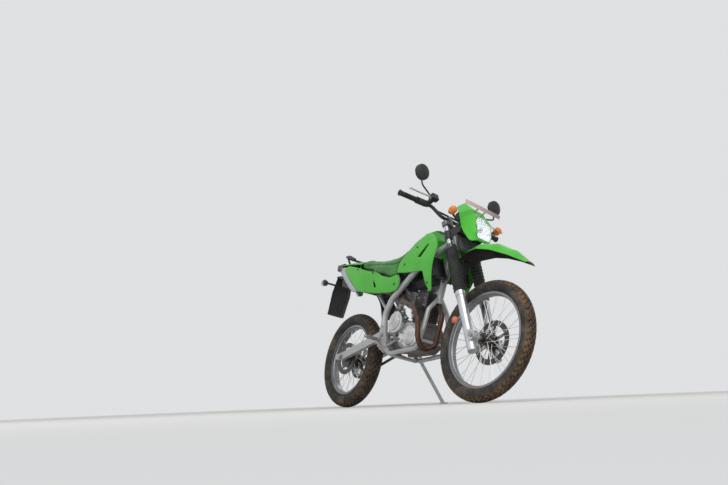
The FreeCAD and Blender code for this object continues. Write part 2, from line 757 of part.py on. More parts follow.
def head_tube():
    low = fork_to_bike((0, 0, HEAD_LOW))
    up = fork_to_bike((0, 0, HEAD_HIGH)) - low
    outer = Part.makeCylinder(HEAD_TUBE_R, HEAD_HIGH - HEAD_LOW, low, up)
    bore = Part.makeCylinder(STEM_R + RUNNING_GAP, HEAD_HIGH - HEAD_LOW, low, up)
    return outer, bore


def main_frame():
    """Head tube, the two side spars, their pivot plates and cross tubes, welded into one."""
    outer, bore = head_tube()
    top = fork_to_bike((-16, 0, 752))
    pieces = [outer, pivot_plates()]
    for side in (1, -1):
        spar = tube([(top.x, side * 12, top.z), (935, side * 62, 925),
                     (800, side * SPAR_HALF, 815), (560, side * SPAR_HALF, 650),
                     (508, side * SPAR_HALF, 560), (508, side * SPAR_HALF, 480)],
                    SPAR_R, 90)
        shock_ear = side_plate([(564, 630), (572, 652), (516, 690), (496, 684), (492, 664), (548, 632)],
                               side * 27 - 3, 6, 5)
        pieces += [spar, shock_ear]
    for x, z, radius in ((560, 652, 14), ENGINE_REAR):
        half = SPAR_HALF - 9
        pieces.append(Part.makeCylinder(radius, 2 * half, V(x, -half, z), Y_AXIS))
    whole = fused(pieces).cut(bore)
    for x, z, radius in ((PIVOT_X, PIVOT_Z, PIVOT_R), (SHOCK_TOP.x, SHOCK_TOP.z, 8)):
        whole = whole.cut(Part.makeCylinder(radius, 400, V(x, -200, z), Y_AXIS))
    return whole


def frame_cradle():
    """The front down tube, which splits into two rails that pass under the engine."""
    outer, _ = head_tube()
    start = fork_to_bike((-10, 0, HEAD_LOW + 60))
    behind = fork_to_bike((-82, 0, HEAD_LOW + 20))
    down = tube([tuple(start), tuple(behind), (946, 0, 790), (915, 0, 610)], DOWNTUBE_R, 60)
    pieces = [down]
    for side in (1, -1):
        rail = tube([(918, side * 8, 640), (915, side * 70, 560), (925, side * 96, 430),
                     (900, side * 104, 318), (620, side * SPAR_HALF, 300),
                     (548, side * SPAR_HALF, 352)], CRADLE_R, 50)
        pieces.append(rail)
    for x, z, radius in (ENGINE_FRONT, LINK_REST):
        pieces.append(Part.makeCylinder(radius, 200, V(x, -100, z), Y_AXIS))
    pivot, _, _, axis, _ = stand_directions()
    face = STAND_EYE_HALF + TURN_GAP
    lug = Part.makeCylinder(16, 24, pivot - axis * (face + 24), axis)
    pin = Part.makeCylinder(STAND_PIN_R, 2 * face + 12, pivot - axis * (face + 8), axis)
    washer = Part.makeCylinder(14, 4, pivot + axis * face, axis)
    whole = fused(pieces + [lug, pin, washer])
    crossing = Part.makeCylinder(ENGINE_REAR[2], 240, V(ENGINE_REAR[0], -120, ENGINE_REAR[1]), Y_AXIS)
    return whole.cut(fused([outer, pivot_plates(), crossing]))


def pivot_plates():
    """The two plates that carry the swinging arm's pivot and the engine's rear bolt."""
    plates = []
    for side in (1, -1):
        plates.append(side_plate([(488, 380), (478, 440), (490, 520), (536, 520), (552, 440),
                                  (574, 396), (576, 350), (556, 328), (505, 330)],
                                 side * SPAR_HALF - 9, 18, 14))
    return Part.makeCompound(plates)


def subframe():
    """Seat rails and their lower stays, joined across by three tubes."""
    frame = main_frame()
    half = SUBFRAME_HALF
    gap = SUBFRAME_R + 0.5
    rail_run = [(612, SPAR_HALF, 690), (578, 92, 780), (500, half, 856 - gap), (400, half, 858 - gap),
                (240, half, 892 - gap), (60, half, 934 - gap), (-70, half, 962 - gap),
                (-236, half, 996 - gap)]
    stay_run = [(500, SPAR_HALF, 500), (470, 82, 560), (440, half, 610), (300, half, 740),
                (150, half, 912 - gap)]
    pieces = []
    for side in (1, -1):
        pieces.append(tube([(x, side * y, z) for x, y, z in rail_run], SUBFRAME_R, 60))
        pieces.append(tube([(x, side * y, z) for x, y, z in stay_run], SUBFRAME_R, 60))
    for x, z in ((400, 858 - gap), (60, 934 - gap), (-225, 994 - gap)):
        pieces.append(Part.makeCylinder(8, 2 * half, V(x, -half, z), Y_AXIS))
    return fused(pieces).cut(frame)


def swingarm():
    """Two tapered box arms, the pivot tube and a cross box, with slots for the axle."""
    pieces = []
    for side in (1, -1):
        arm = side_plate([(-58, 304), (-58, 340), (20, 352), (PIVOT_X - 60, PIVOT_Z + 30),
                          (PIVOT_X, PIVOT_Z + 26), (PIVOT_X + 26, PIVOT_Z), (PIVOT_X, PIVOT_Z - 26),
                          (380, 384), (20, 300)], side * ARM_HALF - ARM_W / 2, ARM_W, 12)
        pieces.append(arm)
    cross = rounded_box((338, -ARM_HALF, 392), (390, ARM_HALF, 428), 8)
    reach = ARM_HALF + ARM_W / 2 + 1.5
    pivot = Part.makeCylinder(17, 2 * reach, V(PIVOT_X, -reach, PIVOT_Z), Y_AXIS)
    whole = fused(pieces + [cross, pivot])
    slot = rounded_box((-26, -150, REAR_TYRE_R - REAR_AXLE_R), (22, 150, REAR_TYRE_R + REAR_AXLE_R),
                       REAR_AXLE_R - 0.1)
    whole = whole.cut(slot)
    return whole.cut(Part.makeCylinder(PIVOT_R, 400, V(PIVOT_X, -200, PIVOT_Z), Y_AXIS))


def shock_link():
    """Plates from the arm down to the damper's foot, and the pull rods to the frame."""
    foot = SHOCK_FOOT
    plates = []
    for side in (1, -1):
        plate = side_plate([(340, 391.7), (388, 391.7), (foot.x + 16, foot.z + 8),
                            (foot.x + 12, foot.z - 14), (foot.x - 14, foot.z - 14), (340, 378)],
                           side * 28 - 4, 8, 6)
        rod = tube([(foot.x, side * 40, foot.z), (LINK_REST[0], side * 40, LINK_REST[1])], 9)
        plates += [plate, rod]
    plates.append(Part.makeCylinder(8, 92, V(foot.x, -46, foot.z), Y_AXIS))
    rest = Part.makeCylinder(LINK_REST[2], 200, V(LINK_REST[0], -100, LINK_REST[1]), Y_AXIS)
    return fused(plates).cut(rest)


def rear_axle():
    reach = ARM_HALF + ARM_W / 2
    bolt = Part.makeCylinder(REAR_AXLE_R, 2 * reach + 26, V(0, -reach - 13, REAR_TYRE_R), Y_AXIS)
    left = Part.makeCylinder(16, 6, V(0, reach, REAR_TYRE_R), Y_AXIS)
    right = Part.makeCylinder(16, 10, V(0, -reach - 10, REAR_TYRE_R), Y_AXIS)
    inner = ARM_HALF - ARM_W / 2
    hub_left = SPROCKET_Y + SPROCKET_T / 2
    hub_right = abs(REAR_DISC_Y) + DISC_T / 2
    space_left = Part.makeCylinder(17, inner - hub_left - TURN_GAP, V(0, hub_left + TURN_GAP, REAR_TYRE_R), Y_AXIS)
    space_right = Part.makeCylinder(17, inner - hub_right - TURN_GAP, V(0, -inner, REAR_TYRE_R), Y_AXIS)
    return fused([bolt, left, right, space_left, space_right])


def pivot_bolt():
    reach = SPAR_HALF + 9
    bolt = Part.makeCylinder(PIVOT_R, 2 * reach + 16, V(PIVOT_X, -reach - 8, PIVOT_Z), Y_AXIS)
    ends = [Part.makeCylinder(14, 8, V(PIVOT_X, y, PIVOT_Z), Y_AXIS) for y in (reach, -reach - 8)]
    return fused([bolt] + ends)


def rear_caliper():
    """The rear caliper over its disc, on an ear inside the right arm."""
    arm_in = ARM_HALF - ARM_W / 2
    body = rounded_box((76, -arm_in + 3, 336), (122, REAR_DISC_Y + 14, 400), 9)
    slot = Part.makeCylinder(REAR_DISC_R + 6, DISC_T + 10,
                             V(0, REAR_DISC_Y - DISC_T / 2 - 5, REAR_TYRE_R), Y_AXIS)
    ear = Part.makeBox(34, 8, 26, V(84, -arm_in, 340))
    return fused([body.cut(slot), ear])


def drive_chain():
    """The chain as one closed loop round both sprockets."""
    rear_r = SPROCKET_TIP_R + 0.6
    start = V(0, 0, REAR_TYRE_R)
    end = V(FRONT_SPROCKET_X, 0, FRONT_SPROCKET_Z)

    def loop(extra):
        r1 = rear_r + extra
        r2 = FRONT_SPROCKET_R + extra
        gap = end - start
        base = math.atan2(gap.z, gap.x)
        spread = math.acos((r1 - r2) / gap.Length)
        y = CHAIN_Y - CHAIN_W / 2

        def at(centre, radius, angle):
            return V(centre.x + radius * math.cos(angle), y, centre.z + radius * math.sin(angle))

        up1 = at(start, r1, base + spread)
        up2 = at(end, r2, base + spread)
        low1 = at(start, r1, base - spread)
        low2 = at(end, r2, base - spread)
        edges = [Part.LineSegment(up1, up2).toShape(),
                 Part.Arc(up2, at(end, r2, base), low2).toShape(),
                 Part.LineSegment(low2, low1).toShape(),
                 Part.Arc(low1, at(start, r1, base + math.pi), up1).toShape()]
        return Part.Face(Part.Wire(edges)).extrude(V(0, CHAIN_W, 0))

    return loop(CHAIN_THICK).cut(loop(0.0))


def shock_absorber():
    """The single rear damper in its spring, hung between the link and the frame."""
    up = SHOCK_TOP - SHOCK_FOOT
    length = up.Length
    profile = [(0, 0), (18, 0), (18, 40), (26, 44)]
    coils = 9
    pitch = (length - 110) / coils
    for k in range(coils):
        profile.append((38, 50 + pitch * (k + 0.5)))
        profile.append((29, 50 + pitch * (k + 1)))
    profile += [(34, length - 50), (34, length - 40), (18, length - 36), (18, length), (0, length)]
    body = revolved(profile, Z_AXIS)
    body.Placement = FreeCAD.Placement(SHOCK_FOOT, FreeCAD.Rotation(Z_AXIS, up))
    eye = Part.makeCylinder(18, 46, V(SHOCK_FOOT.x, -23, SHOCK_FOOT.z), Y_AXIS)
    top = Part.makeCylinder(16, 46, V(SHOCK_TOP.x, -23, SHOCK_TOP.z), Y_AXIS)
    bolt = Part.makeCylinder(8, 64, V(SHOCK_TOP.x, -32, SHOCK_TOP.z), Y_AXIS)
    bore = Part.makeCylinder(8, 100, V(SHOCK_FOOT.x, -50, SHOCK_FOOT.z), Y_AXIS)
    return fused([body, eye, top, bolt]).cut(bore)


def engine_crankcase():
    """Crankcase castings, open on the left round the chain's front sprocket."""
    outline = [(572, 372), (585, 470), (640, 520), (686, 520), (722, 496), (800, 488), (880, 466), (908, 400),
               (890, 350), (840, 318), (640, 318)]
    case = side_plate(outline, -78, 156, 24)
    pocket = Part.makeCylinder(62, 60, V(FRONT_SPROCKET_X, 48, FRONT_SPROCKET_Z), Y_AXIS)
    case = case.cut(pocket)
    shaft = Part.makeCylinder(12, 27, V(FRONT_SPROCKET_X, 46, FRONT_SPROCKET_Z), Y_AXIS)
    lug = Part.makeCylinder(18, 90, V(ENGINE_REAR[0], -45, ENGINE_REAR[1]), Y_AXIS)
    web = Part.makeBox(100, 90, 30, V(ENGINE_REAR[0], -45, ENGINE_REAR[1] - 15))
    deck = Part.makeBox(124, 112, 60, V(-62, -56, -38))
    deck.Placement = cylinder_frame() * deck.Placement
    whole = fused([case, shaft, lug, web, deck])
    for x, z, radius in (ENGINE_FRONT, ENGINE_REAR):
        whole = whole.cut(Part.makeCylinder(radius, 300, V(x, -150, z), Y_AXIS))
    return whole


def front_sprocket():
    disc = Part.makeCylinder(FRONT_SPROCKET_R - 0.4, SPROCKET_T,
                             V(FRONT_SPROCKET_X, SPROCKET_Y - SPROCKET_T / 2, FRONT_SPROCKET_Z), Y_AXIS)
    return disc.cut(Part.makeCylinder(12, 60, V(FRONT_SPROCKET_X, 40, FRONT_SPROCKET_Z), Y_AXIS))


CYLINDER_FOOT = V(790, 0, 480)


def cylinder_frame():
    return FreeCAD.Placement(CYLINDER_FOOT, FreeCAD.Rotation(Y_AXIS, CYLINDER_TILT_DEG))


def engine_cylinder():
    """The cylinder with its cooling fins, the head and the cam cover."""
    pieces = []
    half = CYLINDER_HALF
    barrel = rounded_box((-half + 6, -half + 4, 22), (half - 6, half - 4, 112), 22, Z_AXIS)
    pieces.append(barrel)
    for k in range(FIN_COUNT):
        z = 34 + FIN_PITCH * k
        pieces.append(rounded_box((-half - FIN_OUT + 8, -half - FIN_OUT + 10, z),
                                  (half + FIN_OUT - 8, half + FIN_OUT - 10, z + FIN_T), 18, Z_AXIS))
    head = rounded_box((-half - 2, -half - 4, 108), (half + 2, half + 4, 176), 16, Z_AXIS)
    cover = rounded_box((-half + 6, -half + 4, 176), (half - 6, half - 4, 204), 18, Z_AXIS)
    port = Part.makeCylinder(22, PORT_END - half + 4, V(half - 4, 0, PORT_UP), X_AXIS)
    inlet = Part.makeCylinder(24, 20, V(-half - 18, 0, PORT_UP), X_AXIS)
    pieces += [head, cover, port, inlet]
    whole = fused(pieces)
    whole.Placement = cylinder_frame()
    return whole


def engine_covers():
    """Right: clutch cover and crank cover. Left: generator cover and sprocket cover."""
    clutch = Part.makeCylinder(72, 34, V(CLUTCH_X, -112, CLUTCH_Z), Y_AXIS)
    clutch = clutch.makeFillet(8, [e for e in clutch.Edges if e.Vertexes[0].Point.y < -111])
    cap = Part.makeCylinder(56, 10, V(CLUTCH_X, -122, CLUTCH_Z), Y_AXIS)
    crank = side_plate([(700, 344), (690, 400), (760, 500), (850, 480), (886, 420), (874, 352),
                        (820, 330), (740, 330)], -104, 26, 24)
    right = fused([clutch, cap, crank])
    stator = Part.makeCylinder(74, 34, V(CRANK_X, 78, CRANK_Z + 10), Y_AXIS)
    chain_case = side_plate([(560, 380), (560, 460), (620, 480), (700, 450), (700, 350), (610, 350)],
                            78, 18, 20)
    left = fused([stator, chain_case])
    return Part.makeCompound([right, left])


def exhaust_header():
    """The pipe from the head's front port, down ahead of the engine and back up its right side."""
    frame = cylinder_frame()
    port = frame.multVec(V(PORT_END, 0, PORT_UP))
    bend = frame.multVec(V(PORT_END + 42, 0, PORT_UP))
    points = [tuple(port), tuple(bend), (992, -18, 520), (992, -40, 330),
              (962, -110, 296), (952, -142, 360), (930, -148, 480), (870, -148, 560),
              (740, -146, 610), (650, -72, 664), (540, -72, 694)]
    along = (MUFFLER_END - MUFFLER_START).normalize()
    points += [tuple(MUFFLER_START - along * 50), tuple(MUFFLER_START)]
    return tube(points, PIPE_R, 45)


def muffler():
    """The flat-sided silencer inside the right side cover, with its cone and tail pipe."""
    along = MUFFLER_END - MUFFLER_START
    length = along.Length
    can = rounded_box((60, -MUFFLER_W / 2, -MUFFLER_H / 2),
                      (length - 20, MUFFLER_W / 2, MUFFLER_H / 2), 17, X_AXIS)
    cone = Part.makeCone(PIPE_R + 3, MUFFLER_W / 2 - 0.5, 64, ZERO, X_AXIS)
    tail = Part.makeCylinder(14, 40, V(length - 40, 0, 0), X_AXIS)
    bore = Part.makeCylinder(11, 40, V(length - 40, 0, 0), X_AXIS)
    whole = fused([can, cone, tail]).cut(bore)
    upward = along.cross(Y_AXIS)
    whole.Placement = FreeCAD.Placement(MUFFLER_START, FreeCAD.Rotation(along, Y_AXIS, upward, "XYZ"))
    return whole


def carburettor():
    """The carburettor and the duct back to the airbox."""
    inlet = cylinder_frame().multVec(V(-CYLINDER_HALF - 18, 0, PORT_UP))
    duct = bar_between(tuple(inlet), (540, 0, 742), 24)
    body = rounded_box((644, -32, 600), (700, 32, 706), 10)
    bowl = Part.makeCylinder(24, 36, V(670, 0, 572))
    return fused([duct, body, bowl]).cut(engine_cylinder()).cut(airbox())


def airbox():
    """The air filter box under the seat."""
    return rounded_box((340, -48, 700), (556, 52, 858 - SUBFRAME_R - 8.8), 16)


def tank_body():
    """The tank proper: level-topped sections from the seat to behind the steering head."""
    rows = [(640, 70, 925, 862), (700, 96, 1010, 850), (780, 112, 1066, 846),
            (850, 112, 1066, 892), (905, 80, 1002, 936)]
    wires = []
    for x, half, top, bottom in rows:
        points = [(x, -half, bottom), (x, -half, (top + bottom) / 2), (x, -half * 0.62, top),
                  (x, half * 0.62, top), (x, half, (top + bottom) / 2), (x, half, bottom)]
        wires.append(path_wire(points, 22, True))
    return loft(wires, True)


def fuel_tank():
    """The tank with its filler cap."""
    return fused([tank_body(), Part.makeCylinder(30, 24, V(816, 0, 1060))])


SEAT_COLUMNS = ("x", "half", "top", "bottom")
SEAT_SECTIONS = [
    (-70, 84, 1004, 962),
    (60, 112, 1000, 934),
    (240, 122, 956, 892),
    (400, 122, 936, 858),
    (520, 104, 968, 856),
    (630, 74, 1044, 934),
    (720, 60, 1074, 1016),
]


def seat():
    wires = []
    for x, half, top, bottom in SEAT_SECTIONS:
        points = [(x, -half, bottom), (x, -half * 0.94, top - 14), (x, -half * 0.6, top),
                  (x, half * 0.6, top), (x, half * 0.94, top - 14), (x, half, bottom)]
        wires.append(path_wire(points, 12, True))
    return loft(wires, True).cut(tank_body())


SIDE_COVER = [(-170, 962), (-196, 928), (30, 782), (110, 752), (376, 712), (560, 696), (604, 716),
              (606, 800), (590, 826), (480, 838), (380, 852), (200, 900), (60, 936), (-60, 966)]


def curved_panel(outline, bulge_r, face_y, middle_z, yaw_deg, pivot_x, pegs=(), corner=14.0):
    """A panel with its outline in side view, bowed outwards and yawed, on round pegs.

    Each peg is (x, z, y of its inner end); it runs out into the panel's own thickness.
    """
    outer = Part.makeCylinder(bulge_r, 2400, V(-1200, face_y - bulge_r, middle_z), X_AXIS)
    inner = Part.makeCylinder(bulge_r - PANEL_T, 2400, V(-1200, face_y - bulge_r, middle_z), X_AXIS)
    for shape in (outer, inner):
        shape.rotate(V(pivot_x, face_y, middle_z), Z_AXIS, yaw_deg)
    wire = path_wire([(x, face_y - 90, z) for x, z in outline], corner, True)
    block = Part.Face(wire).extrude(V(0, 150, 0))
    pieces = [block.common(outer.cut(inner))]
    for x, z, y in pegs:
        pieces.append(Part.makeCylinder(8, 120, V(x, y, z), Y_AXIS).common(outer))
    return fused(pieces)


def side_cover():
    peg_y = SUBFRAME_HALF + SUBFRAME_R + 0.3
    panel = curved_panel(SIDE_COVER, 600, 150, 850, 3, 400, ((330, 856, peg_y), (100, 912, peg_y)))
    slot = side_plate([(318, 760), (300, 800), (318, 806), (340, 764)], 60, 120, 8)
    return panel.cut(slot)


SHROUD = [(606, 816), (720, 802), (890, 790), (968, 652), (984, 660), (1008, 745), (1048, 860),
          (1070, 930), (1040, 962), (930, 1020), (850, 1036), (760, 996), (690, 930), (620, 866)]


def shroud():
    panel = curved_panel(SHROUD, 500, 146, 860, 4, 700, ((812, 900, 112.3), (820, 940, 112.3)))
    slot = side_plate([(850, 872), (930, 934), (950, 930), (876, 862)], 40, 140, 6)
    return panel.cut(slot)


def rear_fender():
    """The tail moulding under the seat, and the flap that carries plate and lamps."""
    rows = [(120, 846, 50, 16), (-60, 892, 58, 24), (-200, 930, 60, 28), (-330, 960, 56, 26)]
    wires = []
    for x, z, half, drop in rows:
        outer = Part.Arc(V(x, half, z - drop), V(x, 0, z), V(x, -half, z - drop)).toShape()
        inner = Part.Arc(V(x, 3 - half, z - drop), V(x, 0, z - 3), V(x, half - 3, z - drop)).toShape()
        a = Part.LineSegment(V(x, -half, z - drop), V(x, 3 - half, z - drop)).toShape()
        b = Part.LineSegment(V(x, half - 3, z - drop), V(x, half, z - drop)).toShape()
        wires.append(Part.Wire([outer, a, inner, b]))
    top = loft(wires, True)
    flap_rows = [(-296, 938, 60), (-318, 820, 74), (-352, 664, 66)]
    flaps = []
    for x, z, half in flap_rows:
        points = [(x, -half, z), (x - 16, -half * 0.8, z), (x - 16, half * 0.8, z), (x, half, z),
                  (x + 5, half, z), (x - 9, half * 0.8, z), (x - 9, -half * 0.8, z), (x + 5, -half, z)]
        flaps.append(Part.makePolygon([V(*p) for p in points + points[:1]]))
    flap = loft(flaps, True)
    hangers = []
    for x, y, low, high in ((60, 30, 852, 934), (-225, 28, 928, 994)):
        under = high - SUBFRAME_R - 0.5 - 8 - 0.3
        for side in (1, -1):
            hangers.append(Part.makeCylinder(9, under - low, V(x, side * y, low)))
    return fused([top, flap] + hangers)


def tail_light():
    """The lamp on its box behind the seat, carried on the subframe's last cross tube."""
    body = rounded_box((-336, -54, 984), (-262, 54, 1034), 14, X_AXIS)
    box = rounded_box((-270, -48, 996.3 - SUBFRAME_R), (-100, 48, 1016), 8, X_AXIS)
    return fused([body, box]).cut(subframe_grown())


def subframe_grown():
    """The rails' room, which the tail box is cut to."""
    half = SUBFRAME_HALF
    gap = SUBFRAME_R + 0.5
    rails = [tube([(60, y, 934 - gap), (-70, y, 962 - gap), (-240, y, 996.8 - gap)], SUBFRAME_R)
             for y in (half, -half)]
    return fused(rails + [Part.makeCylinder(8, 2 * half, V(-225, -half, 994 - gap), Y_AXIS)])


def grab_rail():
    """A black hand rail that loops round behind the seat, on two feet on the rails."""
    gap = SUBFRAME_R + 0.5
    left = [(20, 121, 1000), (-60, 118, 1034), (-150, 96, 1052), (-186, 50, 1056)]
    right = [(x, -y, z) for x, y, z in reversed(left)]
    pieces = [tube(left + right, 8, 34)]
    for side in (1, -1):
        pieces.append(tube([(-118, side * SUBFRAME_HALF, 972 - gap + SUBFRAME_R),
                            (-118, side * 80, 1000), (-120, side * 105, 1046)], 7, 12))
    return fused(pieces).cut(subframe_grown())


def footpegs():
    face = SPAR_HALF + 9
    bracket = Part.makeBox(34, 14, 40, V(478, face, 364))
    peg = rounded_box((474, face + 10, 386), (508, face + 104, 404), 5)
    return both_sides(fused([bracket, peg]))


def foot_controls():
    """The brake pedal on the right and the gear lever on the left."""
    face = SPAR_HALF + 9
    boss = Part.makeCylinder(12, 24, V(530, -face - 24, 350), Y_AXIS)
    arm = tube([(530, -face - 14, 350), (612, -150, 330), (690, -150, 352), (742, -150, 372)], 6, 30)
    pad = rounded_box((730, -192, 366), (762, -142, 380), 4)
    brake = fused([boss, arm, pad])
    gear_boss = Part.makeCylinder(10, 34, V(640, 96, 400), Y_AXIS)
    gear_arm = tube([(640, 122, 400), (690, 134, 404), (752, 134, 412)], 5.5, 20)
    gear_pad = Part.makeCylinder(9, 44, V(752, 128, 412), Y_AXIS)
    gear = fused([gear_boss, gear_arm, gear_pad])
    return Part.makeCompound([brake, gear])


def rear_indicators():
    """Two lamps on one bar that lies against the front of the flap."""
    x = -296.5
    z = 868
    lamps = [indicator(V(x - 6, side * 150, z), V(x, side * 60, z), V(-1, 0, 0)) for side in (1, -1)]
    bar = Part.makeCylinder(7, 120, V(x, -60, z), Y_AXIS)
    return fused(lamps + [bar])


def stand_directions():
    """The leg's direction when out, and when folded back along the left side."""
    pivot = V(*STAND_PIVOT)
    foot = V(STAND_FOOT_X, STAND_FOOT_Y, ground_height(STAND_FOOT_X, STAND_FOOT_Y))
    out = foot - pivot
    length = out.Length
    out.normalize()
    folded = V(-1.0, 0.06, 0.02)
    folded.normalize()
    axis = out.cross(folded)
    axis.normalize()
    return pivot, foot, out, axis, length


def side_stand():
    """The stand: an eye at its pivot, a round leg and a foot plate that lies on the ground."""
    pivot, foot, out, axis, length = stand_directions()
    up = STANCE.Rotation.inverted().multVec(Z_AXIS)
    pad = Part.makeCylinder(STAND_PAD_R, STAND_PAD_T, foot, up)
    leg = Part.makeCylinder(STAND_LEG_R, length - 14, pivot + out * 8, out)
    eye = Part.makeCylinder(18, 2 * STAND_EYE_HALF, pivot - axis * STAND_EYE_HALF, axis)
    bore = Part.makeCylinder(STAND_PIN_R + RUNNING_GAP, 60, pivot - axis * 30, axis)
    return fused([leg, pad, eye]).cut(bore)


def model():
    """Every node, as name: (shape, frame that it is drawn in)."""
    left_shroud = shroud()
    left_cover = side_cover()
    fork = {
        "triple_clamps": triple_clamps(),
        "fork_tubes": fork_tubes(),
        "fork_gaiters": both_sides(gaiter()),
        "fork_sliders": both_sides(fork_slider()),
        "front_axle": front_axle(),
        "front_caliper": front_caliper(),
        "front_fender": front_fender(),
        "handlebar": handlebar(),
        "grips": both_sides(grip()),
        "hand_controls": Part.makeCompound([hand_control(1), hand_control(-1)]),
        "mirrors": both_sides(mirror_piece()),
        "headlight_cowl": headlight_cowl(),
        "headlight": headlight(),
        "lamp_bracket": lamp_bracket(),
        "instrument": instrument(),
        "front_indicators": both_sides(front_indicator()),
    }
    front = {
        "front_tyre": tyre(FRONT_TYRE_R, FRONT_TYRE_W, FRONT_CROWN_R, FRONT_FLANGE_R, FRONT_RIM_W),
        "front_rim": rim(FRONT_FLANGE_R, FRONT_RIM_W),
        "front_spokes": spokes(FRONT_HUB_FLANGE_R - 6, FRONT_HUB_HALF, FRONT_FLANGE_R),
        "front_hub": hub(FRONT_HUB_FLANGE_R, FRONT_HUB_HALF, FRONT_AXLE_R, FRONT_DISC_R, FRONT_DISC_Y,
                         FRONT_DISC_Y + DISC_T / 2, FRONT_HUB_HALF + 18),
    }
    rear = {
        "rear_tyre": tyre(REAR_TYRE_R, REAR_TYRE_W, REAR_CROWN_R, REAR_FLANGE_R, REAR_RIM_W),
        "rear_rim": rim(REAR_FLANGE_R, REAR_RIM_W),
        "rear_spokes": spokes(REAR_HUB_FLANGE_R - 6, REAR_HUB_HALF, REAR_FLANGE_R),
        "rear_hub": hub(REAR_HUB_FLANGE_R, REAR_HUB_HALF, REAR_AXLE_R, REAR_DISC_R, REAR_DISC_Y,
                        SPROCKET_Y - SPROCKET_T / 2, -REAR_DISC_Y + DISC_T / 2),
        "rear_sprocket": sprocket(),
    }
    chassis = {
        "main_frame": main_frame(),
        "frame_cradle": frame_cradle(),
        "subframe": subframe(),
        "swingarm": swingarm(),
        "pivot_bolt": pivot_bolt(),
        "rear_axle": rear_axle(),
        "rear_caliper": rear_caliper(),
        "drive_chain": drive_chain(),
        "shock_absorber": shock_absorber(),
        "engine_crankcase": engine_crankcase(),
        "engine_cylinder": engine_cylinder(),
        "engine_covers": engine_covers(),
        "exhaust_header": exhaust_header(),
        "muffler": muffler(),
        "carburettor": carburettor(),
        "airbox": airbox(),
        "fuel_tank": fuel_tank(),
        "shroud_left": left_shroud,
        "shroud_right": mirrored(left_shroud),
        "seat": seat(),
        "side_cover_left": left_cover,
        "side_cover_right": mirrored(left_cover),
        "rear_fender": rear_fender(),
        "tail_light": tail_light(),
        "grab_rail": grab_rail(),
        "footpegs": footpegs(),
        "foot_controls": foot_controls(),
        "rear_indicators": rear_indicators(),
        "shock_link": shock_link(),
        "front_sprocket": front_sprocket(),
    }
    stand = {"side_stand": side_stand()}
    steer = steering_frame()
    front_wheel = steer * FreeCAD.Placement(FRONT_AXLE, FreeCAD.Rotation())
    rear_wheel = FreeCAD.Placement(REAR_AXLE, FreeCAD.Rotation())
    upright = FreeCAD.Placement()
    nodes = {}
    for group, frame in ((fork, steer), (front, front_wheel), (rear, rear_wheel),
                         (chassis, upright), (stand, upright)):
        for name, shape in group.items():
            nodes[name] = (shape, frame)
    return nodes


def place(nodes):
    """Leans every piece onto the stand, and centres the footprint on the origin."""
    placed = {}
    box = FreeCAD.BoundBox()
    for name, (shape, frame) in nodes.items():
        moved = shape.copy()
        moved.Placement = STANCE * frame * moved.Placement
        placed[name] = moved
        box.add(moved.optimalBoundingBox(False, False))
    shift = V(-box.Center.x, -box.Center.y, -box.ZMin)
    for shape in placed.values():
        shape.translate(shift)
    return placed, shift


def main():
    os.makedirs("parts", exist_ok=True)
    placed, _ = place(model())
    for name, shape in placed.items():
        solids = Part.makeCompound(shape.Solids) if len(shape.Solids) > 1 else shape.Solids[0]
        solids.exportStep(f"parts/{name}.step")


if __name__ == "__main__":
    main()
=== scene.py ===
# %% [markdown]
# # A dual sport motorcycle on its side stand
#
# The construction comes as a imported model: every rigid piece is already there at its real size and
# place. This lesson gives each of them a finish, adds what a mesh shows better than a solid (tread,
# thin panels, bolts, a stuffed seat), and lights the whole plainly. Units are metres, +X is forward,
# +Y is to the rider's left and +Z is up, and the machine leans to +Y on its stand.

# %% Load the construction
import json

import bmesh
import bpy
import numpy as np
from mathutils import Matrix, Vector
from mathutils.bvhtree import BVHTree
from mathutils.geometry import delaunay_2d_cdt


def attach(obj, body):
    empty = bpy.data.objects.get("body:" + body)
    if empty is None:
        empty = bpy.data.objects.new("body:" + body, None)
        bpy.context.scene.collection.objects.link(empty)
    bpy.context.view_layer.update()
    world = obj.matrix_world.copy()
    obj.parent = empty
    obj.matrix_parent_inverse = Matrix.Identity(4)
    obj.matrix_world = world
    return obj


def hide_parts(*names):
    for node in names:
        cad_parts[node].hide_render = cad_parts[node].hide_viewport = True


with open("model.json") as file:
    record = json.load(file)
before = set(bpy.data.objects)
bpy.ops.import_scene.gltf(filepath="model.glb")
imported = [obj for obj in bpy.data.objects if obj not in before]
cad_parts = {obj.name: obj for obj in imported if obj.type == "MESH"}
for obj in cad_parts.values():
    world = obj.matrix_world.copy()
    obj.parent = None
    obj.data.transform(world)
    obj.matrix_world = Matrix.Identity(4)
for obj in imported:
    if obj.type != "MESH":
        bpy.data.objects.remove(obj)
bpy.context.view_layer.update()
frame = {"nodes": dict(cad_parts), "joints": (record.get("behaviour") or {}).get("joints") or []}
nodes = frame["nodes"]

# %% [markdown]
# ## The machine's own axes
#
# The model leans, so a bolt circle or a tread row is awkward to write in the floor's axes. The joints
# give the way out: the rear axle is the machine's own sideways axis, and the steering axis leans back
# by the caster angle. From these two directions come a matrix for the upright machine, another for
# the turned fork, and one for each wheel, and every later piece is drawn in one of them.

# %% The matrices of the upright machine, the fork and the wheels
CASTER = np.radians(27.0)
REAR_AXLE_UP = 0.320
AXLE_AHEAD = 0.066

joints = {j["name"]: j for j in frame["joints"]}


def unit(way):
    return way / np.linalg.norm(way)


def joint_line(name):
    """(point, unit direction) of a joint's axis, in metres."""
    return np.array(joints[name]["pos_m"]), unit(np.array(joints[name]["axis"]))


def frame_of(x, y, z, origin):
    """The 4x4 matrix whose columns are three directions and an origin."""
    matrix = np.eye(4)
    matrix[:3, 0], matrix[:3, 1], matrix[:3, 2], matrix[:3, 3] = x, y, z, origin
    return matrix


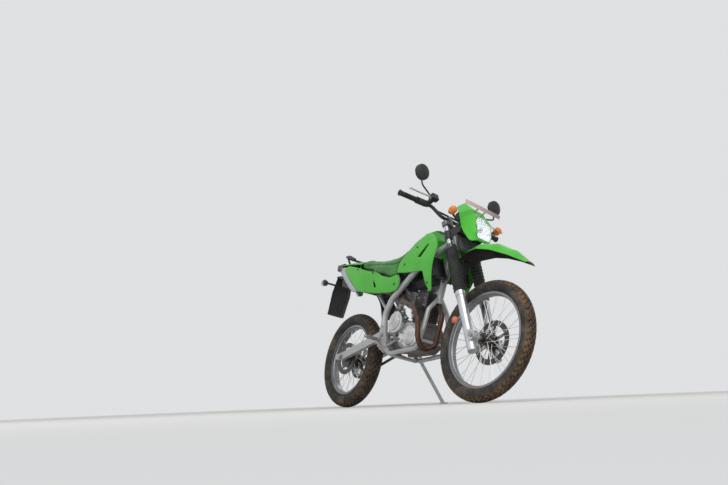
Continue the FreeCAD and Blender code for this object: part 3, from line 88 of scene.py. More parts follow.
def placed(matrix, points):
    """Rotates and moves an array of points: matrix times each point."""
    return np.asarray(points, float) @ matrix[:3, :3].T + matrix[:3, 3]


rear_centre, side_way = joint_line("rear_wheel_spin")
front_centre, front_side_way = joint_line("front_wheel_spin")
steer_way = joint_line("steering")[1]
across = np.cross(side_way, steer_way)
ahead = np.cos(CASTER) * across - np.sin(CASTER) * steer_way
upward = np.sin(CASTER) * across + np.cos(CASTER) * steer_way
BIKE = frame_of(ahead, side_way, upward, rear_centre - REAR_AXLE_UP * upward)
fork_ahead = np.cross(front_side_way, steer_way)
FORK = frame_of(fork_ahead, front_side_way, steer_way, front_centre - AXLE_AHEAD * fork_ahead)
REAR_WHEEL = frame_of(ahead, side_way, upward, rear_centre)
FRONT_WHEEL = frame_of(fork_ahead, front_side_way, steer_way, front_centre)
print("wheelbase in plan", round(float(np.linalg.norm((front_centre - rear_centre)[:2])), 3))

# %% [markdown]
# ## Where the camera stands
#
# A camera is a position, a direction and a focal length. These were found by matching the rims, the
# fork legs, the mirrors and the bar's end with the picture. The picture was taken from below a bank,
# so here the camera stands as low as the floor lets it, and rolls a little.

# %% Camera
PICTURE = (728, 485)
CAMERA_AT = np.array([4.579, -3.384, 0.025])
YAW, PITCH, ROLL = np.radians([-57.793, 10.074, -2.307])
FOCAL_PX = 902.4
SENSOR_MM = 36.0


def camera_matrix():
    """Columns are the picture's right, its up and away from the view, all from yaw, pitch and roll."""
    view = np.array([np.sin(YAW) * np.cos(PITCH), np.cos(YAW) * np.cos(PITCH), np.sin(PITCH)])
    level = np.array([np.cos(YAW), -np.sin(YAW), 0.0])
    above = np.cross(level, view)
    right = level * np.cos(ROLL) + above * np.sin(ROLL)
    up = above * np.cos(ROLL) - level * np.sin(ROLL)
    return frame_of(right, up, -view, CAMERA_AT)


def put_in(name, data):
    """A new object in the scene, which holds a camera, a lamp or a mesh."""
    made = bpy.data.objects.new(name, data)
    bpy.context.scene.collection.objects.link(made)
    return made


lens = bpy.data.cameras.new("camera")
lens.sensor_width = SENSOR_MM
lens.lens = FOCAL_PX / PICTURE[0] * SENSOR_MM
lens.clip_start = 0.01
camera = put_in("camera", lens)
camera.matrix_world = Matrix(camera_matrix().tolist())
bpy.context.scene.camera = camera
print("lens", round(lens.lens, 2), "mm")

# %% [markdown]
# ## Floor, sky and lamps
#
# A big pale floor runs out to the horizon, and a pale world stands in for an overcast sky. Three large
# lamps shape the forms: one high in front, one low fill on the shadow side and one behind for the rim
# of light along the top. Together they add up to about 1, so a colour renders much as it is written.
# The camera is so low that a floor's far end would draw a line behind the wheels. So the floor fades
# into the colour of the sky with distance, but only for rays that see it and not for those that
# light the machine.

# %% Floor, world and lamps
FLOOR_COLOUR = (0.72, 0.715, 0.70)
SKY_COLOUR = (0.74, 0.75, 0.76)
SKY_STRENGTH = 0.66
FADE_FROM, FADE_TO = 1.6, 7.0


class Nodes:
    """A node tree, with short ways to add a node and to join it to others."""

    def __init__(self, tree):
        self.tree = tree

    def join(self, source, socket):
        """Links an output to a socket, or writes a number or colour on it."""
        if isinstance(source, bpy.types.NodeSocket):
            self.tree.links.new(source, socket)
        elif hasattr(source, "__len__") and len(socket.default_value) == 4:
            socket.default_value = (*source, 1)
        else:
            socket.default_value = source

    def add(self, kind, inputs, output=0, **settings):
        """A new node's output. Each input is a number, a colour or another node's output."""
        node = self.tree.nodes.new("ShaderNode" + kind)
        for name, value in settings.items():
            setattr(node, name, value)
        for socket, source in inputs.items():
            self.join(source, node.inputs[socket])
        return node.outputs[output] if node.outputs else None

    def maths(self, kind, a, b=0.0, clamp=False):
        return self.add("Math", {0: a, 1: b}, operation=kind, use_clamp=clamp)

    def times(self, a, b, clamp=False):
        return self.maths("MULTIPLY", a, b, clamp)

    def ramp(self, value, low, high, out_low=0.0, out_high=1.0):
        """A smooth step: out_low below low, out_high above high."""
        return self.add("MapRange", {"Value": value, "From Min": low, "From Max": high,
                                     "To Min": out_low, "To Max": out_high},
                        "Result", interpolation_type="SMOOTHSTEP")


def seen_ray(n):
    """1 for a ray from the camera, from a mirror or through glass, and 0 for a ray that lights."""
    camera_ray, glossy, through = (n.add("LightPath", {}, f"Is {kind} Ray")
                                   for kind in ("Camera", "Glossy", "Transmission"))
    return n.maths("MAXIMUM", n.maths("MAXIMUM", camera_ray, glossy), through)


def studio_world():
    """A world that lights softly, and that the camera and mirrors see as a plain pale backdrop."""
    world = bpy.data.worlds.new("studio")
    bpy.context.scene.world = world
    world.use_nodes = True
    world.node_tree.nodes.clear()
    n = Nodes(world.node_tree)
    soft, seen = (n.add("Background", {"Color": SKY_COLOUR, "Strength": power})
                  for power in (SKY_STRENGTH, 1.0))
    n.add("OutputWorld", {"Surface": n.add("MixShader", {"Fac": seen_ray(n), 1: soft, 2: seen})})


def area_lamp(name, at, towards, size, watts):
    """A square lamp at a point, turned so that it shines towards another."""
    data = bpy.data.lights.new(name, "AREA")
    data.size, data.energy = size, watts
    back = unit(np.subtract(at, towards))
    side = unit(np.cross([0, 0, 1.0], back))
    put_in(name, data).matrix_world = Matrix(frame_of(side, np.cross(back, side), back, at).tolist())


def floor_material():
    """Plain matt floor whose seen colour runs into the sky's with distance from the machine."""
    material = bpy.data.materials.new("floor")
    material.use_nodes = True
    n = Nodes(material.node_tree)
    shader = n.tree.nodes["Principled BSDF"]
    matt = ("Base Color", FLOOR_COLOUR), ("Roughness", 0.9), ("Specular IOR Level", 0.1)
    for socket, value in matt:
        n.join(value, shader.inputs[socket])
    far = n.add("VectorMath", {0: n.add("TexCoord", {}, "Object")}, "Value", operation="LENGTH")
    fade = n.times(n.ramp(far, FADE_FROM, FADE_TO), seen_ray(n))
    glow = n.add("Emission", {"Color": SKY_COLOUR})
    mix = n.add("MixShader", {"Fac": fade, 1: shader.outputs[0], 2: glow})
    n.join(mix, n.tree.nodes["Material Output"].inputs["Surface"])
    return material


def floor_plane(half):
    mesh = bpy.data.meshes.new("floor")
    corners = [(-half, -half, 0), (half, -half, 0), (half, half, 0), (-half, half, 0)]
    mesh.from_pydata(corners, [], [(0, 1, 2, 3)])
    mesh.materials.append(floor_material())
    return put_in("floor", mesh)


studio_world()
area_lamp("key", (3.0, -1.4, 4.2), (0, 0, 0.6), 3.2, 96)
area_lamp("fill", (1.2, -4.6, 1.8), (0, 0, 0.6), 3.2, 42)
area_lamp("rim", (-3.0, 3.0, 3.4), (0, 0, 0.8), 2.6, 28)
floor = floor_plane(60.0)
bpy.context.scene.view_settings.view_transform = "Standard"
print("lamps", len(bpy.data.lights))

# %% [markdown]
# ## A small kit for finishes
#
# Every finish here is one Principled shader. Constants go on its own sockets, and only what changes
# over the surface comes from nodes: a noise for mottling, a second one for grain, a mask for dust.
# All patterns read Object coordinates, which are metres on a piece whose object sits at the origin,
# so a scale of 400 means detail about 2.5 mm across.

class Finish(Nodes):
    """A material, with short ways to add the patterns that a finish needs."""

    def __init__(self, name, colour, rough, metal=0.0, **sockets):
        self.material = bpy.data.materials.new(name)
        self.material.use_nodes = True
        self.material.diffuse_color = (*colour, 1)
        super().__init__(self.material.node_tree)
        self.shader = self.tree.nodes["Principled BSDF"]
        self.place = self.add("TexCoord", {}, "Object")
        self.normal = None
        constants = {"Base Color": colour, "Roughness": rough, "Metallic": metal, **sockets}
        for socket, value in constants.items():
            self.join(value, self.shader.inputs[socket.replace("_", " ")])

    def noise(self, scale, detail=4.0, roughness=0.55, place=None):
        """Smooth noise from 0 to 1, its blotches about 1/scale metres across."""
        return self.add("TexNoise", {"Scale": scale, "Detail": detail, "Roughness": roughness,
                                     "Vector": place or self.place}, "Fac")

    def patches(self, scale, detail, low, high, out_low=0.0, out_high=1.0, roughness=0.55):
        """Noise made into patches: the smooth step of it between low and high."""
        return self.ramp(self.noise(scale, detail, roughness), low, high, out_low, out_high)

    def cells(self, scale):
        """Distance to the nearest of many scattered points: pebbles or grain."""
        return self.add("TexVoronoi", {"Scale": scale, "Vector": self.place}, "Distance")

    def blend(self, factor, a, b):
        """Colour a where factor is 0 and b where it is 1."""
        return self.add("Mix", {"Factor": factor, "A": a, "B": b}, "Result", data_type="RGBA")

    def vector(self, kind, a, b=(0, 0, 0), output="Vector"):
        return self.add("VectorMath", {0: a, 1: b}, output, operation=kind)

    def offset(self, origin):
        return self.vector("SUBTRACT", self.place, tuple(origin))

    def up_from(self, origin, direction):
        """How far a point lies from origin along a direction: the dot product of the two."""
        return self.vector("DOT_PRODUCT", self.offset(origin), tuple(direction), "Value")

    def out_from(self, origin, axis):
        """How far a point lies from a line: the length of its cross product with the line's axis."""
        across = self.vector("CROSS_PRODUCT", self.offset(origin), tuple(axis))
        return self.vector("LENGTH", across, output="Value")

    def outward(self, origin):
        """Positive on skins that face away from origin: the normal's dot product with the offset."""
        facing = self.place.node.outputs["Normal"]
        return self.vector("DOT_PRODUCT", self.offset(origin), facing, "Value")

    def shade_by(self, normal):
        self.normal = normal
        self.join(normal, self.shader.inputs["Normal"])

    def raise_by(self, value, distance):
        """Adds a bump: value from 0 to 1 stands for that many metres."""
        below = {} if self.normal is None else {"Normal": self.normal}
        self.shade_by(self.add("Bump", {"Distance": distance, "Strength": 1.0, "Height": value,
                                        **below}, "Normal"))

    def round_edges(self, radius):
        """Shades hard edges as if they were rounded by that radius."""
        self.shade_by(self.add("Bevel", {"Radius": radius}, "Normal", samples=4))

    def dust(self, base, colour, amount, top=0.9, scale=9.0):
        """Lays dust over a colour: thick near the ground, gone at height top, broken up by noise."""
        low = self.ramp(self.up_from((0, 0, 0), (0, 0, 1)), 0.05, top, 1.0, 0.0)
        broken = self.patches(scale, 8.0, 0.38, 0.72, roughness=0.62)
        fine = self.patches(scale * 22, 3.0, 0.25, 0.75, 0.35, 1.0)
        mask = self.times(self.times(self.times(low, broken), fine), amount, clamp=True)
        return self.blend(mask, base, colour), mask

    def done(self, colour=None, rough=None, bumps=(), metal=None):
        """Joins what varies over the surface. Each bump is (value, height in metres)."""
        for source, socket in (colour, "Base Color"), (rough, "Roughness"), (metal, "Metallic"):
            if source is not None:
                self.join(source, self.shader.inputs[socket])
        for value, distance in bumps:
            self.raise_by(value, distance)
        return self.material


def toned(colour, share):
    """A colour made darker or lighter."""
    return tuple(share * c for c in colour)


DUST = (0.27, 0.19, 0.115)
MUD = (0.16, 0.085, 0.038)
print("dust and mud ready")

# %% [markdown]
# ## Painted and moulded finishes
#
# The bodywork is lime plastic, coloured right through. It could be one flat green, but real moulded
# panels have a faint mottle, fine scuffs and dust in the low places, and that is what tells plastic
# from paint. The frame is silver paint with a little metal in it, and the rest is black plastic with
# a fine pebble grain.

# %% Plastics, paint and rubber
LIME = (0.070, 0.475, 0.036)
# Near-black painted shade for skins that face inwards, such as the fender's underside over the wheel.
PAINTED_SHADE_UNDERSIDE = (0.020, 0.019, 0.018)


def lime_plastic(name="lime_plastic", painted_shade_from=None):
    """Glossy green plastic: mottled colour, hazy scuffs in the gloss, dust towards the ground, and, where
    a point is given, near-black painted shade on the skins that face it.
    """
    f = Finish(name, LIME, 0.42, Specular_IOR_Level=0.36)
    f.round_edges(0.0015)
    mottle = f.patches(7.0, 5.0, 0.25, 0.75)
    colour = f.blend(mottle, (0.056, 0.420, 0.028), (0.082, 0.520, 0.044))
    colour, mask = f.dust(colour, DUST, 0.42, top=1.1)
    # Painted shade: skins that face the given point turn near-black.
    if painted_shade_from is not None:
        colour = f.blend(f.ramp(f.outward(painted_shade_from), -0.02, 0.02, 1.0, 0.0), colour, PAINTED_SHADE_UNDERSIDE)
    haze = f.patches(55.0, 7.0, 0.42, 0.78, 0.34, 0.47, 0.7)
    return f.done(colour, f.maths("ADD", haze, f.times(mask, 0.35), True),
                  [(f.noise(900.0, 2.0), 0.00002)])


def plain_plastic(name="black_plastic", tone=(0.021, 0.021, 0.022), dusty=0.55, rough=0.52):
    """Matt moulded plastic with pebble grain."""
    f = Finish(name, tone, rough, Specular_IOR_Level=0.42)
    f.round_edges(0.0012)
    mottled = f.blend(f.noise(30.0, 5.0), toned(tone, 0.8), toned(tone, 1.25))
    return f.done(f.dust(mottled, DUST, dusty)[0],
                  f.patches(80.0, 4.0, 0.3, 0.75, rough - 0.10, rough + 0.14),
                  [(f.cells(950.0), 0.00006)])


def seat_vinyl(name="seat_vinyl"):
    """Green seat cover: fine leather grain with painted shade in its hollows, rubbed paler on top."""
    f = Finish(name, (0.052, 0.235, 0.050), 0.55, Specular_IOR_Level=0.35, Sheen_Weight=0.12)
    worn = f.patches(9.0, 7.0, 0.35, 0.72, roughness=0.62)
    colour = f.blend(worn, (0.040, 0.190, 0.040), (0.070, 0.285, 0.064))
    # Painted shade: the grain's hollows, the low points of its bump, are darkened.
    colour = f.blend(f.ramp(f.cells(620.0), 0.02, 0.30), (0.026, 0.120, 0.028), colour)
    return f.done(f.dust(colour, DUST, 0.35, top=1.4, scale=12.0)[0],
                  f.patches(70.0, 4.0, 0.3, 0.7, 0.44, 0.66),
                  [(f.ramp(f.cells(620.0), 0.0, 0.45), 0.00022), (f.noise(60.0, 4.0), 0.0005)])


def rubber(name, grey, rough, dusty):
    """Dull rubber that has greyed unevenly."""
    f = Finish(name, (grey, grey, grey), rough, Specular_IOR_Level=0.35)
    greyed = f.blend(f.patches(22.0, 6.0, 0.3, 0.7), (grey * 0.7,) * 3, (grey * 1.5,) * 3)
    return f.done(f.dust(greyed, DUST, dusty)[0],
                  f.patches(140.0, 4.0, 0.3, 0.7, rough - 0.08, rough + 0.1),
                  [(f.noise(700.0, 3.0), 0.00005)])


def silver_paint(name="silver_paint"):
    """Silver frame paint: metal flake under a thin coat, chipped and dusty low down."""
    f = Finish(name, (0.46, 0.47, 0.485), 0.36, 0.35, Coat_Weight=0.25, Coat_Roughness=0.2)
    f.round_edges(0.0012)
    colour = f.blend(f.ramp(f.cells(2600.0), 0.0, 0.7), (0.34, 0.35, 0.365), (0.45, 0.455, 0.465))
    colour = f.blend(f.patches(62.0, 9.0, 0.68, 0.74, roughness=0.72), colour, (0.16, 0.15, 0.14))
    colour, mask = f.dust(colour, DUST, 0.85, top=0.95)
    rough = f.maths("ADD", f.patches(60.0, 4.0, 0.3, 0.7, 0.30, 0.44), f.times(mask, 0.3), True)
    return f.done(colour, rough, [(f.noise(240.0, 3.0), 0.00004)])


def black_paint(name="black_paint", rough=0.38):
    """Black satin enamel on steel, rubbed through to grey on a few spots."""
    f = Finish(name, (0.022, 0.022, 0.024), rough, Specular_IOR_Level=0.5)
    f.round_edges(0.0010)
    rubbed = f.patches(70.0, 9.0, 0.69, 0.75, roughness=0.7)
    colour = f.blend(rubbed, (0.022, 0.022, 0.024), (0.15, 0.14, 0.13))
    return f.done(f.dust(colour, DUST, 0.6)[0],
                  f.patches(90.0, 4.0, 0.3, 0.7, rough - 0.07, rough + 0.14))


LIME_PLASTIC = lime_plastic()
# The front fender's skins that face the wheel get near-black painted shade.
FENDER_PLASTIC_PAINTED_SHADE = lime_plastic("fender_plastic_painted_shade", FRONT_WHEEL[:3, 3])
BLACK_PLASTIC = plain_plastic()
PALE_PLASTIC = plain_plastic("pale_plastic", (0.44, 0.455, 0.475), 0.5, 0.38)
SEAT_VINYL = seat_vinyl()
BLACK_PAINT = black_paint()
SILVER_PAINT = silver_paint()
SOFT_RUBBER = rubber("soft_rubber", 0.020, 0.62, 0.45)
GRIP_RUBBER = rubber("grip_rubber", 0.017, 0.55, 0.15)
print("paint and plastic", len(bpy.data.materials))

# %% [markdown]
# ## Metals
#
# Metal takes nearly all of its look from roughness. Cast covers are matt with a sandy bump, and the
# fork's lower legs are brushed along their length. The header is stained by heat, dark brown low down
# and paler towards the port, with patches of rust over it.

# %% Metals
def cast_alloy(name="cast_alloy", tone=0.50, muddy=0.8, top=0.62):
    """Sand-cast aluminium: grey, mottled, with a grainy bump and mud low down."""
    f = Finish(name, (tone, tone * 1.01, tone * 1.02), 0.42, 0.85)
    f.round_edges(0.0018)
    mottle = f.patches(26.0, 6.0, 0.3, 0.72)
    colour = f.blend(mottle, (tone * 0.72,) * 3, (tone * 1.12, tone * 1.13, tone * 1.15))
    colour, mask = f.dust(colour, MUD, muddy, top=top, scale=7.0)
    rough = f.maths("ADD", f.patches(90.0, 5.0, 0.3, 0.7, 0.34, 0.5), f.times(mask, 0.4), True)
    return f.done(colour, rough, [(f.noise(1100.0, 4.0), 0.00009)],
                  f.maths("SUBTRACT", 0.85, f.times(mask, 0.85)))


def brushed_place(f, along):
    """The place drawn out along a direction d: 0.96 of its part along d is taken away."""
    part = f.add("VectorMath", {0: tuple(along), "Scale": f.up_from((0, 0, 0), along)},
                 operation="SCALE")
    return f.add("VectorMath", {0: part, 1: (-0.96,) * 3, 2: f.place}, operation="MULTIPLY_ADD")


def bright_metal(name, colour, rough, along=None, streak=0.12, dusty=0.3):
    """Machined or brushed metal. along is the brushing's direction: noise stretched that way."""
    f = Finish(name, colour, rough, 1.0)
    f.round_edges(0.0008)
    lines = f.noise(420.0, place=None if along is None else brushed_place(f, along))
    tint = f.blend(f.patches(16.0, 5.0, 0.3, 0.7), toned(colour, 0.84), colour)
    tint, mask = f.dust(tint, DUST, dusty)
    fine = f.ramp(lines, 0.25, 0.75, rough - streak / 2, rough + streak)
    return f.done(tint, f.maths("ADD", fine, f.times(mask, 0.35), True), [(lines, 0.00002)])


def heated_pipe(name="heated_pipe"):
    """A header pipe: heat stains that change with height, and rust in patches over them."""
    f = Finish(name, (0.20, 0.12, 0.07), 0.45, 0.8)
    height = f.maths("ADD", f.up_from((0, 0, 0), (0, 0, 1)), f.times(f.noise(14.0), 0.10))
    low = f.blend(f.ramp(height, 0.30, 0.46), (0.034, 0.018, 0.012), (0.080, 0.036, 0.019))
    colour = f.blend(f.ramp(height, 0.48, 0.66), low, (0.13, 0.10, 0.08))
    rust = f.patches(48.0, 8.0, 0.46, 0.62, roughness=0.68)
    colour = f.blend(f.times(rust, 0.85), colour, (0.075, 0.032, 0.016))
    return f.done(colour, f.ramp(rust, 0.0, 1.0, 0.36, 0.78), [(f.noise(420.0, 5.0), 0.00014)],
                  f.maths("SUBTRACT", 0.8, f.times(rust, 0.7)))


def beyond(f, distance, limit, blur=0.0004):
    """1 where a distance is over its limit and 0 where it is under, with a thin soft edge."""
    return f.ramp(distance, limit - blur, limit + blur)


def lever_metal(name, from_bar, from_middle):
    """Black housings, with bare alloy where a lever runs ahead of the bar and outboard of its perch."""
    f = Finish(name, (0.3, 0.3, 0.3), 0.4)
    y = f.maths("ABSOLUTE", f.up_from(FORK[:3, 3], front_side_way))
    before_bar = beyond(f, f.up_from(FORK[:3, 3], fork_ahead), from_bar, 0.0005)
    bare = f.times(before_bar, beyond(f, y, from_middle, 0.0005))
    black = f.blend(f.noise(60.0, 5.0), (0.017, 0.017, 0.018), (0.030, 0.030, 0.031))
    f.round_edges(0.0012)
    return f.done(f.blend(bare, black, (0.63, 0.635, 0.645)),
                  f.patches(160.0, 4.0, 0.3, 0.7, 0.30, 0.50), metal=f.times(bare, 0.95))


CAST_ALLOY = cast_alloy()
DARK_CAST = cast_alloy("dark_cast", 0.075, 0.95, 0.85)
ENGINE_ALLOY = cast_alloy("engine_alloy", 0.13, 0.95, 0.60)
CLAMP_ALLOY = cast_alloy("clamp_alloy", 0.20, 0.5, 0.62)
COVER_ALLOY = cast_alloy("cover_alloy", 0.66, 0.35, 0.50)
DISC_STEEL = bright_metal("disc_steel", (0.115, 0.11, 0.105), 0.42, None, 0.12, 0.45)
LEVER_METAL = lever_metal("lever_metal", 0.057, 0.229)
FORK_SILVER = bright_metal("fork_silver", (0.66, 0.67, 0.69), 0.34, steer_way)
FORK_CHROME = bright_metal("fork_chrome", (0.72, 0.73, 0.75), 0.14, steer_way, 0.04)
RIM_SILVER = bright_metal("rim_silver", (0.30, 0.31, 0.33), 0.38, None, 0.10, 0.75)
SPOKE_STEEL = bright_metal("spoke_steel", (0.80, 0.80, 0.79), 0.30, None, 0.08, 0.25)
PLAIN_STEEL = bright_metal("plain_steel", (0.44, 0.44, 0.45), 0.36, None, 0.14, 0.6)
HEATED_PIPE = heated_pipe()
print("metals", len(bpy.data.materials))

# %% [markdown]
# ## Lamps and glass
#
# A clear cover is glass with almost no colour, and a coloured lens is plastic that lets some light in:
# transmission in the shader, plus a fine ribbing in the bump as on real lenses.

# %% Lenses and mirrors
def ribbed(f, way, turn):
    """A sine wave from 0 to 1 along a direction, turn radians to a metre: 2 pi over the ribs' pitch."""
    return f.ramp(f.maths("SINE", f.times(f.up_from((0, 0, 0), way), turn)), -1.0, 1.0)


def coloured_lens(name, colour, turn):
    """Clear coloured plastic with vertical ribs, and a faint painted glow in its own colour."""
    # Emission is a faint painted glow: the lens is no lamp.
    f = Finish(name, colour, 0.12, Coat_Weight=0.6, Coat_Roughness=0.05, Transmission_Weight=0.25,
               Emission_Color=colour, Emission_Strength=0.12)
    return f.done(f.blend(f.noise(60.0), toned(colour, 0.8), colour),
                  bumps=[(ribbed(f, side_way, turn), 0.0004)])


def lamp_body(name, colour, origin, way, reach):
    """A lamp in one piece: coloured lens beyond a plane across it, black housing before it."""
    f = Finish(name, colour, 0.14, Coat_Weight=0.4, Coat_Roughness=0.08)
    lens = beyond(f, f.up_from(origin, way), reach)
    tint = f.blend(f.noise(60.0), toned(colour, 0.8), colour)
    return f.done(f.blend(lens, (0.020, 0.020, 0.021), tint), f.ramp(lens, 0.0, 1.0, 0.48, 0.14),
                  [(f.times(ribbed(f, side_way, 2 * np.pi / 0.003), lens), 0.0004)])


def lamp_cover(name):
    """Clear plastic over the lamp, with upright flutes moulded in."""
    f = Finish(name, (0.86, 0.88, 0.89), 0.07, IOR=1.49, Coat_Weight=0.5, Transmission_Weight=0.85)
    return f.done(rough=f.patches(90.0, 5.0, 0.4, 0.8, 0.04, 0.22),
                  bumps=[(ribbed(f, front_side_way, 2 * np.pi / 0.009), 0.0007)])


def reflector(name):
    """The lamp's dish: bright lacquered metal, pressed into facets and hazed a little with age, with a
    pale painted glow over it that stands in for its reflections.
    """
    # The emission is a painted glow: the dish shines though the lamp is not lit.
    f = Finish(name, (0.90, 0.905, 0.91), 0.16, 0.3, Emission_Color=(0.9, 0.95, 1),
               Emission_Strength=0.85)
    return f.done(f.blend(f.noise(20.0), (0.84, 0.85, 0.86), (0.93, 0.93, 0.93)),
                  f.patches(45.0, 5.0, 0.3, 0.8, 0.12, 0.34), [(f.cells(48.0), 0.005)])


def silvered_glass(name):
    """Mirror glass, with a faint film of dust."""
    f = Finish(name, (0.86, 0.88, 0.89), 0.03, 1.0)
    return f.done(rough=f.patches(30.0, 6.0, 0.5, 0.85, 0.02, 0.12))


FRONT_TURN = lamp_body("front_turn", (0.86, 0.22, 0.014), FORK[:3, 3], fork_ahead, 0.170)
REAR_TURN = lamp_body("rear_turn", (0.72, 0.70, 0.66), BIKE[:3, 3], -ahead, 0.306)
TAIL_LAMP = lamp_body("tail_lamp", (0.085, 0.004, 0.004), BIKE[:3, 3], -ahead, 0.262)
# The side reflector's finish carries a faint painted glow.
ORANGE_REFLECTOR = coloured_lens("orange_reflector", (0.72, 0.15, 0.012), 330 * 6.283)
LAMP_COVER = lamp_cover("lamp_cover")
REFLECTOR = reflector("reflector")
MIRROR_GLASS = silvered_glass("mirror_glass")
print("lenses ready")

# %% [markdown]
# ## Dressing the rigid pieces
#
# A rigid piece keeps its mesh: only its material slots change. One table says what each is made of.

# %% A finish for every rigid piece
FINISH_OF = {
    FENDER_PLASTIC_PAINTED_SHADE: "front_fender",
    LIME_PLASTIC: "headlight_cowl fuel_tank shroud_left shroud_right side_cover_left"
                  " side_cover_right",
    BLACK_PLASTIC: "mirrors instrument airbox rear_fender",
    SEAT_VINYL: "seat",
    BLACK_PAINT: "handlebar lamp_bracket grab_rail muffler",
    SILVER_PAINT: "side_stand main_frame frame_cradle subframe swingarm",
    SOFT_RUBBER: "fork_gaiters front_tyre rear_tyre",
    GRIP_RUBBER: "grips",
    LEVER_METAL: "hand_controls",
    CLAMP_ALLOY: "triple_clamps",
    CAST_ALLOY: "front_caliper rear_caliper carburettor shock_link engine_covers",
    ENGINE_ALLOY: "engine_crankcase",
    DISC_STEEL: "front_hub rear_hub drive_chain",
    DARK_CAST: "engine_cylinder",
    FORK_SILVER: "fork_sliders",
    FORK_CHROME: "fork_tubes",
    RIM_SILVER: "front_rim rear_rim",
    SPOKE_STEEL: "front_spokes rear_spokes",
    PLAIN_STEEL: "front_axle rear_axle pivot_bolt front_sprocket rear_sprocket footpegs"
                 " foot_controls shock_absorber",
    HEATED_PIPE: "exhaust_header",
    FRONT_TURN: "front_indicators",
    REAR_TURN: "rear_indicators",
    TAIL_LAMP: "tail_light",
    LAMP_COVER: "headlight",
}


def dress(node, material):
    """Gives a rigid piece one finish, in every material slot that it has."""
    if not nodes[node].material_slots:
        nodes[node].data.materials.append(material)
    for held in nodes[node].material_slots:
        held.material = material


for material, names in FINISH_OF.items():
    for node in names.split():
        dress(node, material)
print("dressed", sum(len(names.split()) for names in FINISH_OF.values()), "of", len(nodes))

# %% [markdown]
# ## A small kit for shapes
#
# Three ways of making a surface cover nearly everything that is added here. A grid of points gives a
# skin, a profile turned about a line gives anything round, and a ring carried along a path gives a
# tube. Each works on whole arrays, so ten thousand points cost no more lines than ten.

def grid_faces(rows, columns, close_rows=False, close_columns=False):
    """Quads between neighbours of a grid of points, joined round to the start where asked."""
    i = np.arange(rows if close_rows else rows - 1)
    j = np.arange(columns if close_columns else columns - 1)
    a, b = np.meshgrid(i, j, indexing="ij")
    a, b = a.ravel(), b.ravel()
    right, up = (b + 1) % columns, (a + 1) % rows
    return np.stack([a * columns + b, a * columns + right, up * columns + right, up * columns + b], 1)


def recalculated(mesh):
    """Merges doubled points and turns the faces outwards: mirrored shapes have them turned in."""
    work = bmesh.new()
    work.from_mesh(mesh)
    bmesh.ops.remove_doubles(work, verts=work.verts, dist=1e-6)
    bmesh.ops.recalc_face_normals(work, faces=work.faces)
    work.to_mesh(mesh)
    work.free()


def piece(name, points, faces, material, slot, body="chassis"):
    """A mesh object from points and faces in floor axes, riding on a body."""
    mesh = bpy.data.meshes.new(name)
    mesh.from_pydata(np.asarray(points, float).tolist(), [], [list(map(int, f)) for f in faces])
    mesh.polygons.foreach_set("use_smooth", np.ones(len(mesh.polygons), bool))
    mesh.update()
    mesh.materials.append(material)
    made = put_in(name, mesh)
    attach(made, body)
    recalculated(mesh)
    return made


def joined(parts):
    """One (points, faces) from several."""
    points, faces, start = [], [], 0
    for p, f in parts:
        points.append(p)
        faces += [[int(i) + start for i in face] for face in f]
        start += len(p)
    return np.concatenate(points), faces


def lathe(profile, steps, close=False):
    """Turns (radius, along) points about Y: x = r cos a, y = along, z = r sin a."""
    profile = np.asarray(profile, float)
    angle = np.linspace(0, 2 * np.pi, steps, endpoint=False)
    r, y = profile[:, 0], profile[:, 1]
    points = np.stack([np.outer(np.cos(angle), r), np.outer(np.ones(steps), y),
                       np.outer(np.sin(angle), r)], -1).reshape(-1, 3)
    return points, grid_faces(steps, len(profile), True, close)


def turned_to(points, axis, at):
    """Turns a shape drawn about Y so that its Y runs along axis, and moves it to a point."""
    axis = unit(np.asarray(axis, float))
    x = unit(np.cross(axis, (0.0, 0, 1) if abs(axis[2]) < 0.9 else (1.0, 0, 0)))
    return points @ np.stack([x, axis, np.cross(x, axis)]) + np.asarray(at)


def lofted(sections):
    """A closed solid through rings of points, with a flat face over both ends."""
    count, around = len(sections), len(sections[0])
    faces = grid_faces(count, around, False, True).tolist()
    last = (count - 1) * around
    ends = [list(range(around))[::-1], list(range(last, last + around))]
    return np.concatenate(sections), faces + ends


def tube_along(path, radius, sides=12):
    """A closed tube: rings square to the path, turned as little as possible from one to the next."""
    path = np.asarray(path, float)
    way = np.gradient(path, axis=0)
    way /= np.linalg.norm(way, axis=1, keepdims=True)
    across = [unit(np.cross(way[0], [0.3, 0.2, 1.0]))]
    for step in way[1:]:
        across.append(unit(across[-1] - step * (across[-1] @ step)))
    across = np.array(across)
    over = np.cross(way, across)
    angle = np.linspace(0, 2 * np.pi, sides, endpoint=False)
    ring = np.cos(angle)[None, :, None] * across[:, None] + np.sin(angle)[None, :, None] * over[:, None]
    return lofted(path[:, None] + ring * radius)


def in_millimetres(values):
    return np.asarray(values, float) / 1000.0


def bell(distance, width):
    """exp(-(d / width)^2): 1 on a line, and near 0 at twice the width from it."""
    return np.exp(-(distance / width) ** 2)


print("shape kit ready")

# %% [markdown]
# ## Tyres with their tread
#
# The solid tyre is smooth out to the tips of its tread. A real one has a carcass some millimetres
# lower with rubber blocks standing on it, and on a machine like this the blocks are small and
# staggered. One block is a little grid with a bevelled top. Its copies are laid out by angle round the
# wheel and by angle over the crown, and the crown's own arc bends each one to fit.

